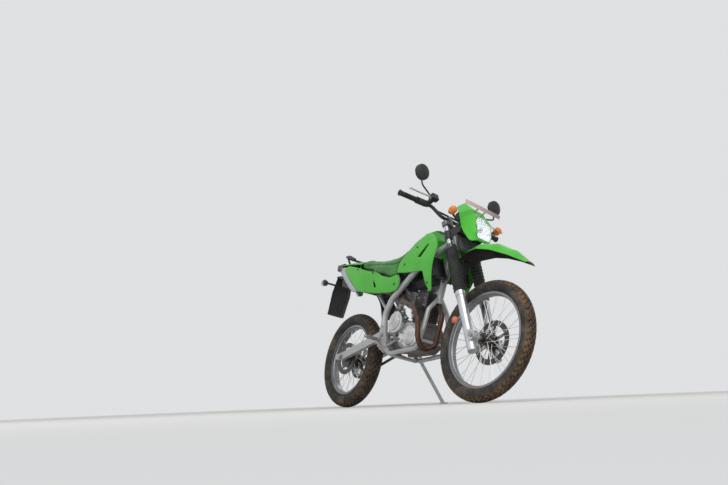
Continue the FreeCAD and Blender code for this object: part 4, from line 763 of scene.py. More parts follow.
# %% Tyre sizes and profile
TYRES = {
    "front": dict(radius=0.348, width=0.084, crown=0.046, flange=0.276, rim=0.048, caked=0.92,
                  pitches=60, depth=0.0085, rows=((-42, 9.5), (-25, 7), (-8.5, 7), (8.5, 7), (25, 7),
                                                  (42, 9.5))),
    "rear": dict(radius=0.320, width=0.104, crown=0.062, flange=0.238, rim=0.058, caked=0.50,
                 pitches=46, depth=0.0100, rows=((-38, 8.5), (-22.5, 6.2), (-7.6, 6.2), (7.6, 6.2),
                                                 (22.5, 6.2), (38, 8.5))),
}
BEAD_HEIGHT, TYRE_WALL, RIM_WALL, TREAD_BASE = 0.010, 0.010, 0.003, 0.008
ROW_PHASES = (0.25, 0.5, 0.0, 0.5, 0.0, 0.75)
FOOT_SPREAD = 1.06
RIDGE, WALL_RIDGES = 0.0009, ((0.16, 0.025), (0.74, 0.03), (0.93, 0.03))


def arc_through(a, b, c, count):
    """Points on the circle through three points, from a by b to c."""
    (ax, ay), (bx, by), (cx, cy) = a, b, c
    d = 2 * (ax * (by - cy) + bx * (cy - ay) + cx * (ay - by))
    x = ((ax ** 2 + ay ** 2) * (by - cy) + (bx ** 2 + by ** 2) * (cy - ay)
         + (cx ** 2 + cy ** 2) * (ay - by)) / d
    y = ((ax ** 2 + ay ** 2) * (cx - bx) + (bx ** 2 + by ** 2) * (ax - cx)
         + (cx ** 2 + cy ** 2) * (bx - ax)) / d
    start, middle, end = (np.arctan2(p[1] - y, p[0] - x) for p in (a, b, c))
    while abs(middle - start) > np.pi:
        middle += 2 * np.pi * np.sign(start - middle)
    while abs(end - middle) > np.pi:
        end += 2 * np.pi * np.sign(middle - end)
    t = np.linspace(start, end, count)
    return np.stack([x + np.hypot(ax - x, ay - y) * np.cos(t),
                     y + np.hypot(ax - x, ay - y) * np.sin(t)], 1)


def carcass_profile(t):
    """Half a tyre's outside from crown to bead, lowered by the tread's depth over the crown."""
    middle = t["radius"] - t["crown"]
    edge = np.arcsin(0.86 * t["width"] / 2 / t["crown"])
    a = np.linspace(0, edge, 14)
    low = t["crown"] - t["depth"] * (1 - 0.75 * (a / edge) ** 6)
    crown = np.stack([middle + low * np.cos(a), low * np.sin(a)], 1)
    shoulder = (middle + t["crown"] * np.cos(edge), t["crown"] * np.sin(edge))
    widest = ((shoulder[0] + t["flange"]) / 2, t["width"] / 2)
    foot = (t["flange"] + 0.002, t["rim"] / 2 - RIM_WALL)
    wall = arc_through(shoulder, widest, foot, 40)[2:]
    way = np.linspace(0, 1, len(wall))
    wall[:, 1] += RIDGE * sum(bell(way - at, width) for at, width in WALL_RIDGES)
    return np.concatenate([crown, wall])


def tyre_skin(t):
    """The whole tyre as a closed ring: outside, beads and the inner wall, turned about the axle."""
    half = carcass_profile(t)
    seat = t["flange"] - BEAD_HEIGHT
    bead = t["rim"] / 2 - RIM_WALL
    top = t["radius"] - TYRE_WALL - TREAD_BASE
    inner = arc_through((seat + 0.004, bead - TYRE_WALL),
                        (t["flange"] + 0.02, t["width"] / 2 - TYRE_WALL), (top, 0.0), 12)
    side = np.concatenate([half, [[seat, bead], [seat, bead - TYRE_WALL]], inner[:-1]])
    other = side[1:][::-1] * [1, -1]
    return lathe(np.concatenate([side, [[top, 0.0]], other]), 180, True)


def tread_blocks(t):
    """Every block of the tread. A block's point is (turn, lean, height): the crown's arc puts it at
    radius middle + reach cos(lean) and at reach sin(lean) along the axle, reach growing with height."""
    inset = np.array([-1.0, -0.86, 0.86, 1.0])
    u, v = np.meshgrid(inset, inset, indexing="ij")
    rim = np.maximum(abs(u), abs(v)) > 0.9
    lift = np.where(rim, 0.90, 1.0).ravel()
    u, v = u.ravel(), v.ravel()
    top = grid_faces(4, 4)
    border = np.array([0, 1, 2, 3, 7, 11, 15, 14, 13, 12, 8, 4])
    foot = np.arange(16, 28)
    walls = np.stack([border, foot, np.roll(foot, -1), np.roll(border, -1)], 1)
    u = np.concatenate([u, u[border] * FOOT_SPREAD])
    v = np.concatenate([v, v[border] * FOOT_SPREAD])
    lift = np.concatenate([lift, np.full(12, -0.12)])
    shape = np.concatenate([top, walls])
    step = 2 * np.pi / t["pitches"]
    turns = np.concatenate([(np.arange(t["pitches"]) + phase) * step for phase in ROW_PHASES])
    leans, sizes = np.repeat(np.array(t["rows"], float), t["pitches"], axis=0).T
    long_way = np.where(abs(leans) > 34, 0.30, 0.33) * step
    turn = turns[:, None] + long_way[:, None] * u + 0.05 * step * v * np.sign(leans)[:, None]
    lean = np.radians(leans[:, None] + sizes[:, None] * v)
    reach = t["crown"] - t["depth"] * (1 - lift)[None, :]
    radius = t["radius"] - t["crown"] + reach * np.cos(lean)
    points = np.stack([radius * np.cos(turn), reach * np.sin(lean), radius * np.sin(turn)], -1)
    starts = np.arange(len(turns)) * len(u)
    faces = (shape[None] + starts[:, None, None]).reshape(-1, 4)
    return points.reshape(-1, 3), faces


def tyre_rubber(name, centre, axis, t):
    """Black rubber greyed on the walls, with mud over the tread and in its gaps."""
    f = Finish(name, (0.026, 0.025, 0.024), 0.72, Specular_IOR_Level=0.3)
    out = f.out_from(centre, axis)
    wall = f.blend(f.patches(18.0, 6.0, 0.3, 0.7), (0.020, 0.020, 0.020), (0.040, 0.038, 0.036))
    edge = t["radius"] - t["crown"] * 0.42
    ragged = f.maths("ADD", out, f.times(f.noise(25.0, 6.0), 0.010))
    tread = f.ramp(ragged, edge - 0.008, edge + 0.014)
    gaps = f.ramp(out, t["radius"] - t["depth"] * 0.95, t["radius"] - t["depth"] * 0.15, 1.0, 0.35)
    caked = f.patches(34.0, 8.0, 0.34, 0.60, roughness=0.66)
    mask = f.times(f.times(tread, gaps), caked, clamp=True)
    mud = f.blend(f.noise(120.0), (0.135, 0.072, 0.030), (0.235, 0.150, 0.078))
    colour = f.blend(f.times(mask, t["caked"]), wall, mud)
    colour = f.blend(f.patches(9.0, 7.0, 0.45, 0.75, 0.0, 0.38, 0.65), colour, DUST)
    return f.done(colour, f.ramp(mask, 0.0, 1.0, 0.66, 0.92), [(f.noise(600.0), 0.00012)])


# %% The two tyres
for end, matrix, centre, axis in (("front", FRONT_WHEEL, front_centre, front_side_way),
                                  ("rear", REAR_WHEEL, rear_centre, side_way)):
    size = TYRES[end]
    points, faces = joined([tyre_skin(size), tread_blocks(size)])
    finish = tyre_rubber(f"{end}_rubber", centre, axis, size)
    made = piece(f"{end}_tyre_tread", placed(matrix, points), faces, finish, "tyre_black",
                 f"{end}_wheel")
    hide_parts(f"{end}_tyre")
    print(end, "tyre", len(made.data.polygons), "faces")

# %% [markdown]
# ## Moulded body panels
#
# The rigid panels give the outline and place. The real ones are thin skins with soft edges, slots and
# pressed lines. A panel is drawn flat in side view: its rounded outline and holes are filled with a
# net of triangles. Then every point is laid on a skin that is bowed over its height and yawed, and
# pressed lines sink it a little by a bell curve of the distance to the line.

# %% The panel kit
CORNER_STEPS = 5
NET_STEP, SKIN_THICK = 6.0, 4.0
LINE_DEPTH, LINE_WIDTH = 2.4, 3.6
EDGE_TURN, EDGE_REACH = 2.2, 3.0


def rounded_outline(corners, corner=14.0):
    """Each corner C becomes a curve (1-t)^2 A + 2t(1-t) C + t^2 B between points A and B near it."""
    c = np.asarray(corners, float)

    def near(way):
        length = np.linalg.norm(way, axis=1, keepdims=True)
        return c + way / length * np.minimum(corner, 0.45 * length)

    a, b = near(np.roll(c, 1, 0) - c), near(np.roll(c, -1, 0) - c)
    t = np.linspace(0, 1, CORNER_STEPS)[None, :, None]
    return ((1 - t) ** 2 * a[:, None] + 2 * t * (1 - t) * c[:, None] + t * t * b[:, None]).reshape(-1, 2)


def densified(ring, step):
    """A closed ring with points added so that none is further than step from the next."""
    after = np.roll(ring, -1, 0)
    counts = np.maximum(1, np.ceil(np.linalg.norm(after - ring, axis=1) / step)).astype(int)
    start = np.repeat(ring, counts, 0)
    end = np.repeat(after, counts, 0)
    share = np.concatenate([np.arange(n) / n for n in counts])[:, None]
    return start + (end - start) * share


def inside(points, ring):
    """Even-odd rule: inside where a ray along x crosses the ring an odd number of times."""
    x, z = points[:, :1], points[:, 1:2]
    a, b = ring, np.roll(ring, -1, 0)
    crosses = (a[:, 1] > z) != (b[:, 1] > z)
    rise = np.where(abs(b[:, 1] - a[:, 1]) < 1e-9, 1e-9, b[:, 1] - a[:, 1])
    at = a[:, 0] + (b[:, 0] - a[:, 0]) * (z - a[:, 1]) / rise
    return (crosses & (x < at)).sum(1) % 2 == 1


def flat_net(outline, holes, step):
    """Fills an outline with triangles about step long, and leaves the holes open."""
    rings = [densified(np.asarray(ring, float), step) for ring in (outline, *holes)]
    border = np.concatenate(rings)
    low, high = border.min(0), border.max(0)
    x, z = np.meshgrid(np.arange(low[0], high[0], step), np.arange(low[1], high[1], 0.87 * step))
    x = x + 0.5 * step * (np.arange(len(x)) % 2)[:, None]
    grid = np.stack([x.ravel(), z.ravel()], 1)
    far = np.linalg.norm(grid[:, None] - border[None], axis=2).min(1) > 0.6 * step
    grid = grid[far & inside(grid, rings[0])]
    edges, start = [], 0
    for ring in rings:
        i = np.arange(len(ring))
        edges += np.stack([i + start, (i + 1) % len(ring) + start], 1).tolist()
        start += len(ring)
    net = delaunay_2d_cdt([Vector(p) for p in np.concatenate([border, grid]).tolist()],
                          edges, [], 0, 1e-6)
    points = np.array([list(p) for p in net[0]])
    faces = np.array([list(f) for f in net[2]])
    middle = points[faces].mean(1)
    keep = inside(middle, rings[0])
    for ring in rings[1:]:
        keep &= ~inside(middle, ring)
    used, faces = np.unique(faces[keep], return_inverse=True)
    return points[used], faces.reshape(-1, 3)


def thickened(outer, inner, faces):
    """Two skins with the same faces, joined along the edges that only one face has: a closed solid."""
    edges = np.concatenate([faces[:, [0, 1]], faces[:, [1, 2]], faces[:, [2, 0]]])
    known = {(a, b) for a, b in edges.tolist()}
    rim = [(a, b) for a, b in edges.tolist() if (b, a) not in known]
    n = len(outer)
    walls = [[b, a, a + n, b + n] for a, b in rim]
    return np.concatenate([outer, inner]), faces.tolist() + (faces[:, ::-1] + n).tolist() + walls


def off_line(points, line):
    """Distance of each point to a line of several straight parts."""
    line = np.asarray(line, float)
    a, way = line[:-1], np.diff(line, axis=0)
    t = ((points[:, None] - a) * way).sum(2) / (way ** 2).sum(1)
    foot = a + np.clip(t, 0, 1)[..., None] * way
    return np.linalg.norm(points[:, None] - foot, axis=2).min(1)


def on_skin(flat, form):
    """y = face - (R - sqrt(R^2 - (z - middle)^2)) + tan(yaw) (x - pivot), R being the bow's radius."""
    bow, face_y, middle, yaw, pivot = form
    y = face_y - (bow - np.sqrt(bow ** 2 - (flat[:, 1] - middle) ** 2))
    return y + np.tan(np.radians(yaw)) * (flat[:, 0] - pivot)


def upright(flat, y):
    """Points of a side view at a distance y from the machine's middle."""
    return np.stack([flat[:, 0], np.broadcast_to(y, len(flat)), flat[:, 1]], 1)


def panel_shape(outline, form, holes=(), lines=()):
    """A panel in millimetres, on the left side. Its outer skin turns in towards the outline."""
    ring = rounded_outline(outline)
    holes = [rounded_outline(hole, 6.0) for hole in holes]
    flat, faces = flat_net(ring, holes, NET_STEP)
    y = on_skin(flat, form)
    for line in lines:
        y = y - LINE_DEPTH * bell(off_line(flat, line), LINE_WIDTH)
    closed = [np.concatenate([r, r[:1]]) for r in (ring, *holes)]
    rim = np.min([off_line(flat, r) for r in closed], axis=0)
    turn = EDGE_TURN * np.exp(-rim / EDGE_REACH)
    return thickened(upright(flat, y - turn), upright(flat, y - SKIN_THICK), faces)


def rod(start, end, radius, sides=14):
    """A round rod between two points, in millimetres."""
    return tube_along(np.linspace(start, end, 3), radius, sides)


def side_piece(name, shapes, material, slot, side=1, body="chassis", matrix=BIKE):
    """Shapes drawn for the left side in millimetres, put on their side of the machine."""
    points, faces = joined(shapes)
    points = placed(matrix, in_millimetres(points * [1, side, 1]))
    return piece(name, points, faces, material, slot, body)


def fork_piece(name, shapes, material, slot, side=1):
    """The same on the fork, in the fork's own axes."""
    return side_piece(name, shapes, material, slot, side, "steering", FORK)


def smooth_rows(rows, count):
    """Cubic curves through the rows: h(t) mixes the values and slopes at both ends of each part."""
    rows = np.asarray(rows, float)
    slope = np.gradient(rows, axis=0)
    t = np.linspace(0, len(rows) - 1, count)
    i = np.minimum(t.astype(int), len(rows) - 2)
    t = (t - i)[:, None]
    return ((1 + 2 * t) * (1 - t) ** 2 * rows[i] + t * (1 - t) ** 2 * slope[i]
            + t * t * (3 - 2 * t) * rows[i + 1] + t * t * (t - 1) * slope[i + 1])


SIDES = ("left", 1), ("right", -1)
print("panel kit ready")

# %% [markdown]
# ## The seat
#
# The seat is a foam pad under a stretched cover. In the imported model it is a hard-edged solid, and
# foam has none of that: its top is crowned and its edges pull in. So sections across the seat are
# drawn from a table, shrunk a little, remeshed evenly and blown up by the cloth solver like a
# cushion, with a cap on how far any point may go. The seam between the top and the sides comes last,
# since remeshing would remove it.

# %% The seat's foam, blown up
SEAT_SHRINK = 0.004
SEAT_VOXEL = 0.005
SEAT_CAP = 0.009
SEAT_PRESSURE = 4.0
SEAT_FRAMES = 20
SEAT_ROWS = [(76, 92, 992, 946), (150, 116, 986, 915), (240, 122, 962, 892), (400, 122, 942, 858),
             (520, 104, 962, 856), (630, 78, 1018, 934), (700, 66, 1040, 985)]
SKIRT_ROWS = [(270, 862, 892), (400, 834, 880), (500, 800, 876), (572, 802, 890)]


def cushion_ring(x, half, top, bottom):
    """One section across the seat: flat crown, sloping shoulders and straight sides, all rounded."""
    ring = rounded_outline([(-half, bottom), (-0.94 * half, top - 14), (-0.6 * half, top),
                            (0.6 * half, top), (0.94 * half, top - 14), (half, bottom)], 16.0)
    return np.insert(ring, 0, x, axis=1)


def skirt_ring(side, x, low, high):
    """One section of the flap that hangs down on each side between the seat and the side cover."""
    return np.array([(x, side * y, z) for y, z in ((102, low), (118, low), (118, high), (102, high))])


def points_of(made, field="co"):
    """The mesh's points, or another value of theirs, as an array."""
    flat = np.empty(len(made.data.vertices) * 3)
    made.data.vertices.foreach_get(field, flat)
    return flat.reshape(-1, 3)


def move_points(made, points):
    made.data.vertices.foreach_set("co", np.asarray(points, float).ravel())
    made.data.update()


def apply_modifier(made, kind, **settings):
    """Adds one modifier and makes its result the piece's own mesh."""
    modifier = made.modifiers.new(kind.lower(), kind)
    for name, value in settings.items():
        setattr(modifier, name, value)
    bake(made)


def bake(made):
    """Replaces a piece's mesh by what its modifiers make of it, and drops the modifiers."""
    shown = made.evaluated_get(bpy.context.evaluated_depsgraph_get())
    mesh = bpy.data.meshes.new_from_object(shown)
    made.modifiers.clear()
    made.data = mesh


def blown_up(made, cap, pressure, frames):
    """Runs the cloth solver with air pressure, then moves each point at most cap from its start."""
    start = points_of(made)
    cloth = made.modifiers.new("cloth", "CLOTH")
    cloth.settings.use_pressure = True
    cloth.settings.uniform_pressure_force = pressure
    cloth.settings.effector_weights.gravity = 0.0
    scene = bpy.context.scene
    for step in range(1, frames + 1):
        scene.frame_set(step)
    bake(made)
    move = points_of(made) - start
    far = np.linalg.norm(move, axis=1, keepdims=True)
    move_points(made, start + move * np.minimum(1.0, cap / np.maximum(far, 1e-9)))
    scene.frame_set(1)


shapes = [lofted([cushion_ring(*row) for row in smooth_rows(SEAT_ROWS, 40)])]
shapes += [lofted([skirt_ring(side, *row) for row in smooth_rows(SKIRT_ROWS, 12)])
           for side in (1, -1)]
seat = side_piece("seat_cushion", shapes, SEAT_VINYL, "seat_vinyl")
move_points(seat, points_of(seat) - points_of(seat, "normal") * SEAT_SHRINK)
apply_modifier(seat, "REMESH", mode="VOXEL", voxel_size=SEAT_VOXEL)
blown_up(seat, SEAT_CAP, SEAT_PRESSURE, SEAT_FRAMES)
apply_modifier(seat, "SMOOTH", factor=0.5, iterations=3)
print("seat", len(seat.data.polygons), "faces")

# %% [markdown]
# ## The seat's seam and piping
#
# A sewn seam pulls the cover into the foam, and the welt in it stands up as a thin cord. The seam's
# line is given in side view. Points near it move inwards by a bell curve of their distance to it, and
# the cord follows the surface: its points are found by shooting rays at the seat from the side.

# %% Seam, piping and cover
SEAM_LINE = np.array([(150, 938), (240, 930), (330, 917), (420, 905), (500, 896), (560, 906), (610, 930)])
SEAM_DEPTH, SEAM_WIDTH = 0.0040, 0.0065
SEAM_FROM, SEAM_TO, SEAM_FADE = 0.130, 0.635, 0.03
PIPING_R = 0.0021


def to_bike(points):
    """Floor axes to the upright machine's."""
    return (np.asarray(points, float) - BIKE[:3, 3]) @ BIKE[:3, :3]


def seam_height(x):
    """Height of the seam above the upright machine's base at a distance x, all in metres."""
    line = SEAM_LINE / 1000.0
    return np.interp(x, line[:, 0], line[:, 1])


def press_seam(made):
    """Sinks a groove: depth times exp(-(d / width)^2), d being the height off the seam's line."""
    local = to_bike(points_of(made))
    off = local[:, 2] - seam_height(local[:, 0])
    x = local[:, 0]
    along = (np.clip((x - SEAM_FROM) / SEAM_FADE, 0, 1)
             * np.clip((SEAM_TO - x) / SEAM_FADE, 0, 1))
    side = np.clip((abs(local[:, 1]) - 0.045) / 0.02, 0, 1)
    sink = SEAM_DEPTH * bell(off, SEAM_WIDTH) * along * side
    local[:, 1] -= np.sign(local[:, 1]) * sink
    move_points(made, placed(BIKE, local))


def surface_line(made, side, height, start, end, count):
    """Where rays from the side meet a piece, at a run of x and the height given by a function."""
    tree = BVHTree.FromObject(made, bpy.context.evaluated_depsgraph_get())
    found = []
    for x in np.linspace(start, end, count):
        begin = placed(BIKE, [[x, side * 0.3, height(x)]])[0]
        hit = tree.ray_cast(begin.tolist(), (-side * side_way).tolist())[0]
        if hit is not None:
            found.append(list(hit))
    return np.array(found)


press_seam(seat)
apply_modifier(seat, "SUBSURF", levels=1, render_levels=1)
seat.data.polygons.foreach_set("use_smooth", np.ones(len(seat.data.polygons), bool))
seat.data.materials.clear()
seat.data.materials.append(SEAT_VINYL)
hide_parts("seat")
piping = [tube_along(surface_line(seat, side, seam_height, 0.140, 0.625, 60), PIPING_R, 8)
          for side in (1, -1)]
PIPING_VINYL = plain_plastic("piping_vinyl", (0.020, 0.075, 0.022), 0.3, 0.5)
piece("seat_piping", *joined(piping), PIPING_VINYL, "seat_vinyl")
print("seat done,", len(seat.data.polygons), "faces")

# %% [markdown]
# ## Bolts and screws
#
# Dozens of small fasteners make a machine look real. All of them are one of two shapes: a socket
# screw, which is a low drum with a hole, and a hexagon bolt on its washer. A profile turned about
# its axis makes either, twelve steps for the drum and six for the hexagon, and then it is copied to
# rows of places by adding arrays.

# %% Fastener shapes
def turned(profile, steps):
    """A closed solid: (radius, along) points turned about Y, with a flat face over each end."""
    points, faces = lathe(profile, steps)
    count = len(profile)
    ends = [[k * count for k in range(steps)][::-1], [k * count + count - 1 for k in range(steps)]]
    return points, faces.tolist() + ends


def socket_screw(radius, height):
    """A round head with a hole for the key. All lengths are in metres."""
    r, h = radius, height
    return turned([(r, -0.0015), (r, 0.75 * h), (0.86 * r, h), (0.56 * r, h), (0.52 * r, 0.35 * h)], 12)


def hex_bolt(radius, height):
    """A six-sided head with chamfered corners, standing on a round washer."""
    head = turned([(radius, 0), (radius, 0.8 * height), (0.84 * radius, height)], 6)
    washer = turned([(1.35 * radius, -0.0012), (1.35 * radius, 0.0006), (1.2 * radius, 0.0012)], 16)
    return joined([head, washer])


def repeated(shape, axis, places):
    """One shape with its Y turned to axis, copied to each place by adding the two arrays."""
    points, faces = shape
    one = turned_to(points, axis, (0, 0, 0))
    every = (places[:, None] + one[None]).reshape(-1, 3)
    steps = np.arange(len(places)) * len(points)
    return every, [[int(i + step) for i in face] for step in steps for face in faces]


def ring_of(x, z, radius, count, turn, y=0):
    """Places evenly round a circle in a plane of constant y, in millimetres."""
    angle = np.radians(turn + 360.0 * np.arange(count) / count)
    return np.stack([x + radius * np.cos(angle), np.full(count, float(y)),
                     z + radius * np.sin(angle)], 1)


SCREW_STEEL = bright_metal("screw_steel", (0.50, 0.50, 0.50), 0.32, None, 0.14, 0.5)
BLACK_SCREW = bright_metal("black_screw", (0.10, 0.10, 0.105), 0.38, None, 0.12, 0.4)
print("fastener shapes ready")

# %% Fasteners of the engine and frame
CYLINDER_TILT = np.radians(6.0)
CYLINDER = BIKE @ frame_of((np.cos(CYLINDER_TILT), 0, -np.sin(CYLINDER_TILT)), (0, 1, 0),
                           (np.sin(CYLINDER_TILT), 0, np.cos(CYLINDER_TILT)), (0.790, 0, 0.480))
LEFT, RIGHT, UP, FORWARD, BACK = (0, 1, 0), (0, -1, 0), (0, 0, 1), (1, 0, 0), (-1, 0, 0)
CLUTCH_RING, CRANK_RING = (652, 492, 75, 8, 22.5), (798, 403, 74, 5, -60)
MAGNETO_RING = (790, 405, 76, 6, 30)


def fasten(name, body, material, slot, groups):
    """Each group is (matrix, way, shape, places in millimetres). All become one piece."""
    parts = []
    for matrix, way, shape, places in groups:
        points, faces = repeated(shape, way, in_millimetres(places))
        parts.append((placed(matrix, points), faces))
    piece(name, *joined(parts), material, slot, body).data.shade_flat()


SMALL, MIDDLE, LARGE = socket_screw(0.0048, 0.0052), socket_screw(0.006, 0.006), hex_bolt(0.008, 0.007)
fasten("engine_screws", "chassis", SCREW_STEEL, "steel", [
    (BIKE, RIGHT, SMALL, ring_of(*CLUTCH_RING, -104)),
    (BIKE, RIGHT, SMALL, ring_of(*CRANK_RING, -108)),
    (BIKE, RIGHT, SMALL, ring_of(712, 392, 36, 3, 90, -112)),
    (BIKE, LEFT, SMALL, ring_of(*MAGNETO_RING, 100)),
    (BIKE, LEFT, SMALL, [(574, 96, 392), (574, 96, 452), (622, 96, 470), (688, 96, 444), (688, 96, 356)]),
    (CYLINDER, UP, MIDDLE, [(x, y, 210) for x in (-50, 50) for y in (-52, 52)]),
    (CYLINDER, RIGHT, SMALL, [(x, -66, z) for x in (-48, 50) for z in (120, 164)]),
    (CYLINDER, RIGHT, MIDDLE, [(6, -78, 160)]),
])
FRAME_BOLTS = (LARGE, [(893, 104, 372), (556, 122, 352), (495, 135, 384)]), (MIDDLE, [(515, 129, 424)])
fasten("frame_bolts", "chassis", SCREW_STEEL, "steel",
       [(BIKE, way, shape, np.array(places) * [1, way[1], 1]) for shape, places in FRAME_BOLTS
        for way in (LEFT, RIGHT)])
print("engine and frame fastened")

# %% [markdown]
# ## Side covers, shrouds and tail bands
#
# Each panel is an outline in side view with one slot and some pressed lines. A form says how it is
# laid: the bow's radius, the distance from the middle, the height of the bow's middle, the yaw and
# the place that the yaw turns about. Two short pegs carry each one on the frame or the tank.

# %% Side covers, shrouds and the pale tail band
COVER_FORM = (600.0, 150.0, 850.0, 3.0, 400.0)
SHROUD_FORM = (500.0, 146.0, 860.0, 4.0, 700.0)
SIDE_COVER = [(-98, 964), (-112, 942), (84, 790), (126, 756), (376, 708), (560, 690), (640, 694),
              (668, 722), (672, 776), (640, 790), (560, 786), (470, 806), (380, 846), (240, 880),
              (60, 936), (-60, 966)]
COVER_SLOT = [(362, 744), (338, 790), (352, 800), (382, 752)]
COVER_LINES = ([(272, 846), (304, 783), (376, 706)], [(120, 901), (300, 858), (470, 788), (660, 769)])
TAIL_BAND = [(-99, 964), (-150, 968), (-172, 936), (34, 774), (96, 752), (124, 755), (82, 788),
             (-114, 941)]
SHROUD = [(606, 812), (680, 800), (812, 786), (914, 778), (936, 700), (966, 650), (992, 656),
          (1006, 712), (1022, 786), (1042, 852), (1060, 908), (1026, 960), (962, 1006), (870, 1024),
          (780, 990), (700, 930), (624, 866)]
SHROUD_SLOT = [(846, 876), (930, 940), (958, 940), (882, 868)]
SHROUD_LINES = ([(690, 834), (902, 822), (1000, 895)],)
RAIL_SIDE, TANK_SIDE = 77.3, 112.3
PANELS = {
    "side": ("side_cover", SIDE_COVER, COVER_FORM, COVER_SLOT, COVER_LINES, RAIL_SIDE,
             ((330, 146, 850), (100, 132, 912))),
    "tank": ("shroud", SHROUD, SHROUD_FORM, SHROUD_SLOT, SHROUD_LINES, TANK_SIDE,
             ((812, 150, 900), (820, 146, 940))),
}
for word, side in SIDES:
    for name, (plain, outline, form, slot, lines, within, ends) in PANELS.items():
        shapes = [panel_shape(outline, form, (slot,), lines)]
        shapes += [rod((x, within, z), (x, y, z), 8) for x, y, z in ends]
        cover = side_piece(f"{name}_panel_{word}", shapes, LIME_PLASTIC, "lime_plastic", side)
        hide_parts(f"{plain}_{word}")
    band = panel_shape(TAIL_BAND, COVER_FORM)
    side_piece(f"tail_band_{word}", [band], PALE_PLASTIC, "black_plastic", side)
print("side panels", len(cover.data.polygons), "faces each")

# %% [markdown]
# ## Tail deck and inner guard
#
# These are sheets: a table of rows gives a place and a half width, and each row is an arc across the
# machine. A smooth curve of the panel kit joins the rows. Plain blocks for smaller things are an
# outline in side view, carried straight across.

# %% Sheets from rows
SHEET_ROWS, SHEET_ACROSS = 24, 15


def sheet(rows, thick=3.0):
    """Rows are (x, z, half width, drop). z falls by drop times (y / half)^2 towards both sides."""
    rows = smooth_rows(rows, SHEET_ROWS)
    share = np.linspace(-1, 1, SHEET_ACROSS)
    x = np.repeat(rows[:, :1], SHEET_ACROSS, 1)
    y = rows[:, 2:3] * share
    z = rows[:, 1:2] - rows[:, 3:4] * share ** 2
    outer = np.stack([x, y, z], -1)
    along, over = np.gradient(outer, axis=0), np.gradient(outer, axis=1)
    normal = np.cross(along, over)
    normal /= np.linalg.norm(normal, axis=2, keepdims=True)
    quads = grid_faces(SHEET_ROWS, SHEET_ACROSS)
    faces = np.concatenate([quads[:, [0, 1, 2]], quads[:, [0, 2, 3]]])
    return thickened(outer.reshape(-1, 3), (outer - normal * thick).reshape(-1, 3), faces)


def block(outline, low, high, corner=6.0):
    """An outline in side view, extruded across the machine from low to high."""
    flat, faces = flat_net(rounded_outline(outline, corner), (), 40.0)
    return thickened(upright(flat, high), upright(flat, low), faces)


def slab(low, high):
    """A plain box between two corners, in millimetres."""
    (x, y, z), (u, v, w) = low, high
    return block([(x, z), (u, z), (u, w), (x, w)], y, v, 2.0)


DECK = [(84, 1000, 104, 44), (-60, 1011, 110, 38), (-180, 1022, 100, 36), (-262, 1028, 66, 30)]
INNER_GUARD = [(60, 868, 52, 14), (180, 800, 60, 14), (280, 740, 64, 14), (350, 660, 62, 10),
               (385, 560, 58, 6)]
posts = [rod((x, s * 66, low), (x, s * 66, high), 7) for s in (1, -1)
         for x, low, high in ((20, 930, 984), (-120, 962, 1002))]
side_piece("tail_deck", [sheet(DECK)] + posts, LIME_PLASTIC, "lime_plastic")
side_piece("inner_guard", [sheet(INNER_GUARD)], BLACK_PLASTIC, "black_plastic")
print("sheets ready")

# %% [markdown]
# ## Coolers
#
# The two coolers stand behind the fork and lean with it, so they are drawn in the fork's axes, but
# with the bar straight ahead and riding on the frame.

# %% Coolers behind the fork
HEAD = BIKE @ frame_of((np.cos(CASTER), 0, np.sin(CASTER)), (0, 1, 0),
                       (-np.sin(CASTER), 0, np.cos(CASTER)), (1.3412, 0, 0.318))


def cooler():
    """A dark core between two side tanks, with slats over it and two straps to the frame."""
    low, high = 522, 664
    parts = [slab((-114, 44, low), (-90, 134, high))]
    parts += [rod((-100, y, low), (-100, y, high), 12) for y in (48, 130)]
    parts += [slab((-86, 52, z), (-82, 126, z + 2.4)) for z in np.arange(low + 6, high - 4, 9.0)]
    parts += [slab((-90, 50, low), (-80, 54, high)), slab((-90, 124, low), (-80, 128, high))]
    parts += [rod((-112, 46, z), (-150, 26, z), 6) for z in (low + 20, high - 24)]
    return parts


for word, side in SIDES:
    side_piece(f"cooler_{word}", cooler(), BLACK_PLASTIC, "black_metal", side, matrix=HEAD)
print("coolers ready")

# %% [markdown]
# ## Engine covers
#
# The covers are turned shapes: a drum with a rounded lip, a cap and a ring of bosses for its screws.

# %% Covers with bosses
def drum(x, z, start, height, radius, lip=7.0):
    """A turned cover: a straight wall, a rounded lip and a slightly domed face."""
    a = np.radians(np.linspace(0, 90, 6))
    wall = [(radius, 0.0)]
    wall += [(radius - lip + lip * np.cos(t), height - lip + lip * np.sin(t)) for t in a]
    face = [(0.55 * radius, height + 1.5), (0.25 * radius, height + 2.4), (0.02 * radius, height + 2.6)]
    points, faces = turned(wall + face, 48)
    return points + [x, start, z], faces


def bosses(places, start, end, radius=8.0):
    return [rod((x, start, z), (x, end, z), radius, 12) for x, _, z in places]


CRANK_COVER = [(690, 350), (676, 396), (716, 470), (770, 492), (850, 470), (886, 420), (874, 352),
               (820, 326), (740, 326)]
SPROCKET_COVER = [(552, 372), (552, 462), (610, 484), (704, 458), (706, 346), (604, 344)]
right = [drum(652, 492, 76, 52, 70), drum(652, 492, 120, 16, 52, 5), block(CRANK_COVER, 76, 104, 24),
         drum(798, 403, 96, 16, 62), drum(712, 392, 96, 14, 30, 4)]
right += bosses(ring_of(*CLUTCH_RING), 78, 104) + bosses(ring_of(*CRANK_RING), 84, 108)
left = [drum(790, 405, 76, 34, 70), drum(790, 405, 100, 14, 34, 4), block(SPROCKET_COVER, 76, 96, 20)]
left += bosses(ring_of(*MAGNETO_RING), 78, 100)
sides = [(p * [1, s, 1], f) for s, parts in ((1, left), (-1, right)) for p, f in parts]
covers = side_piece("engine_side_covers", sides, COVER_ALLOY, "cast_alloy")
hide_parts("engine_covers")
print("engine covers", len(covers.data.polygons), "faces")

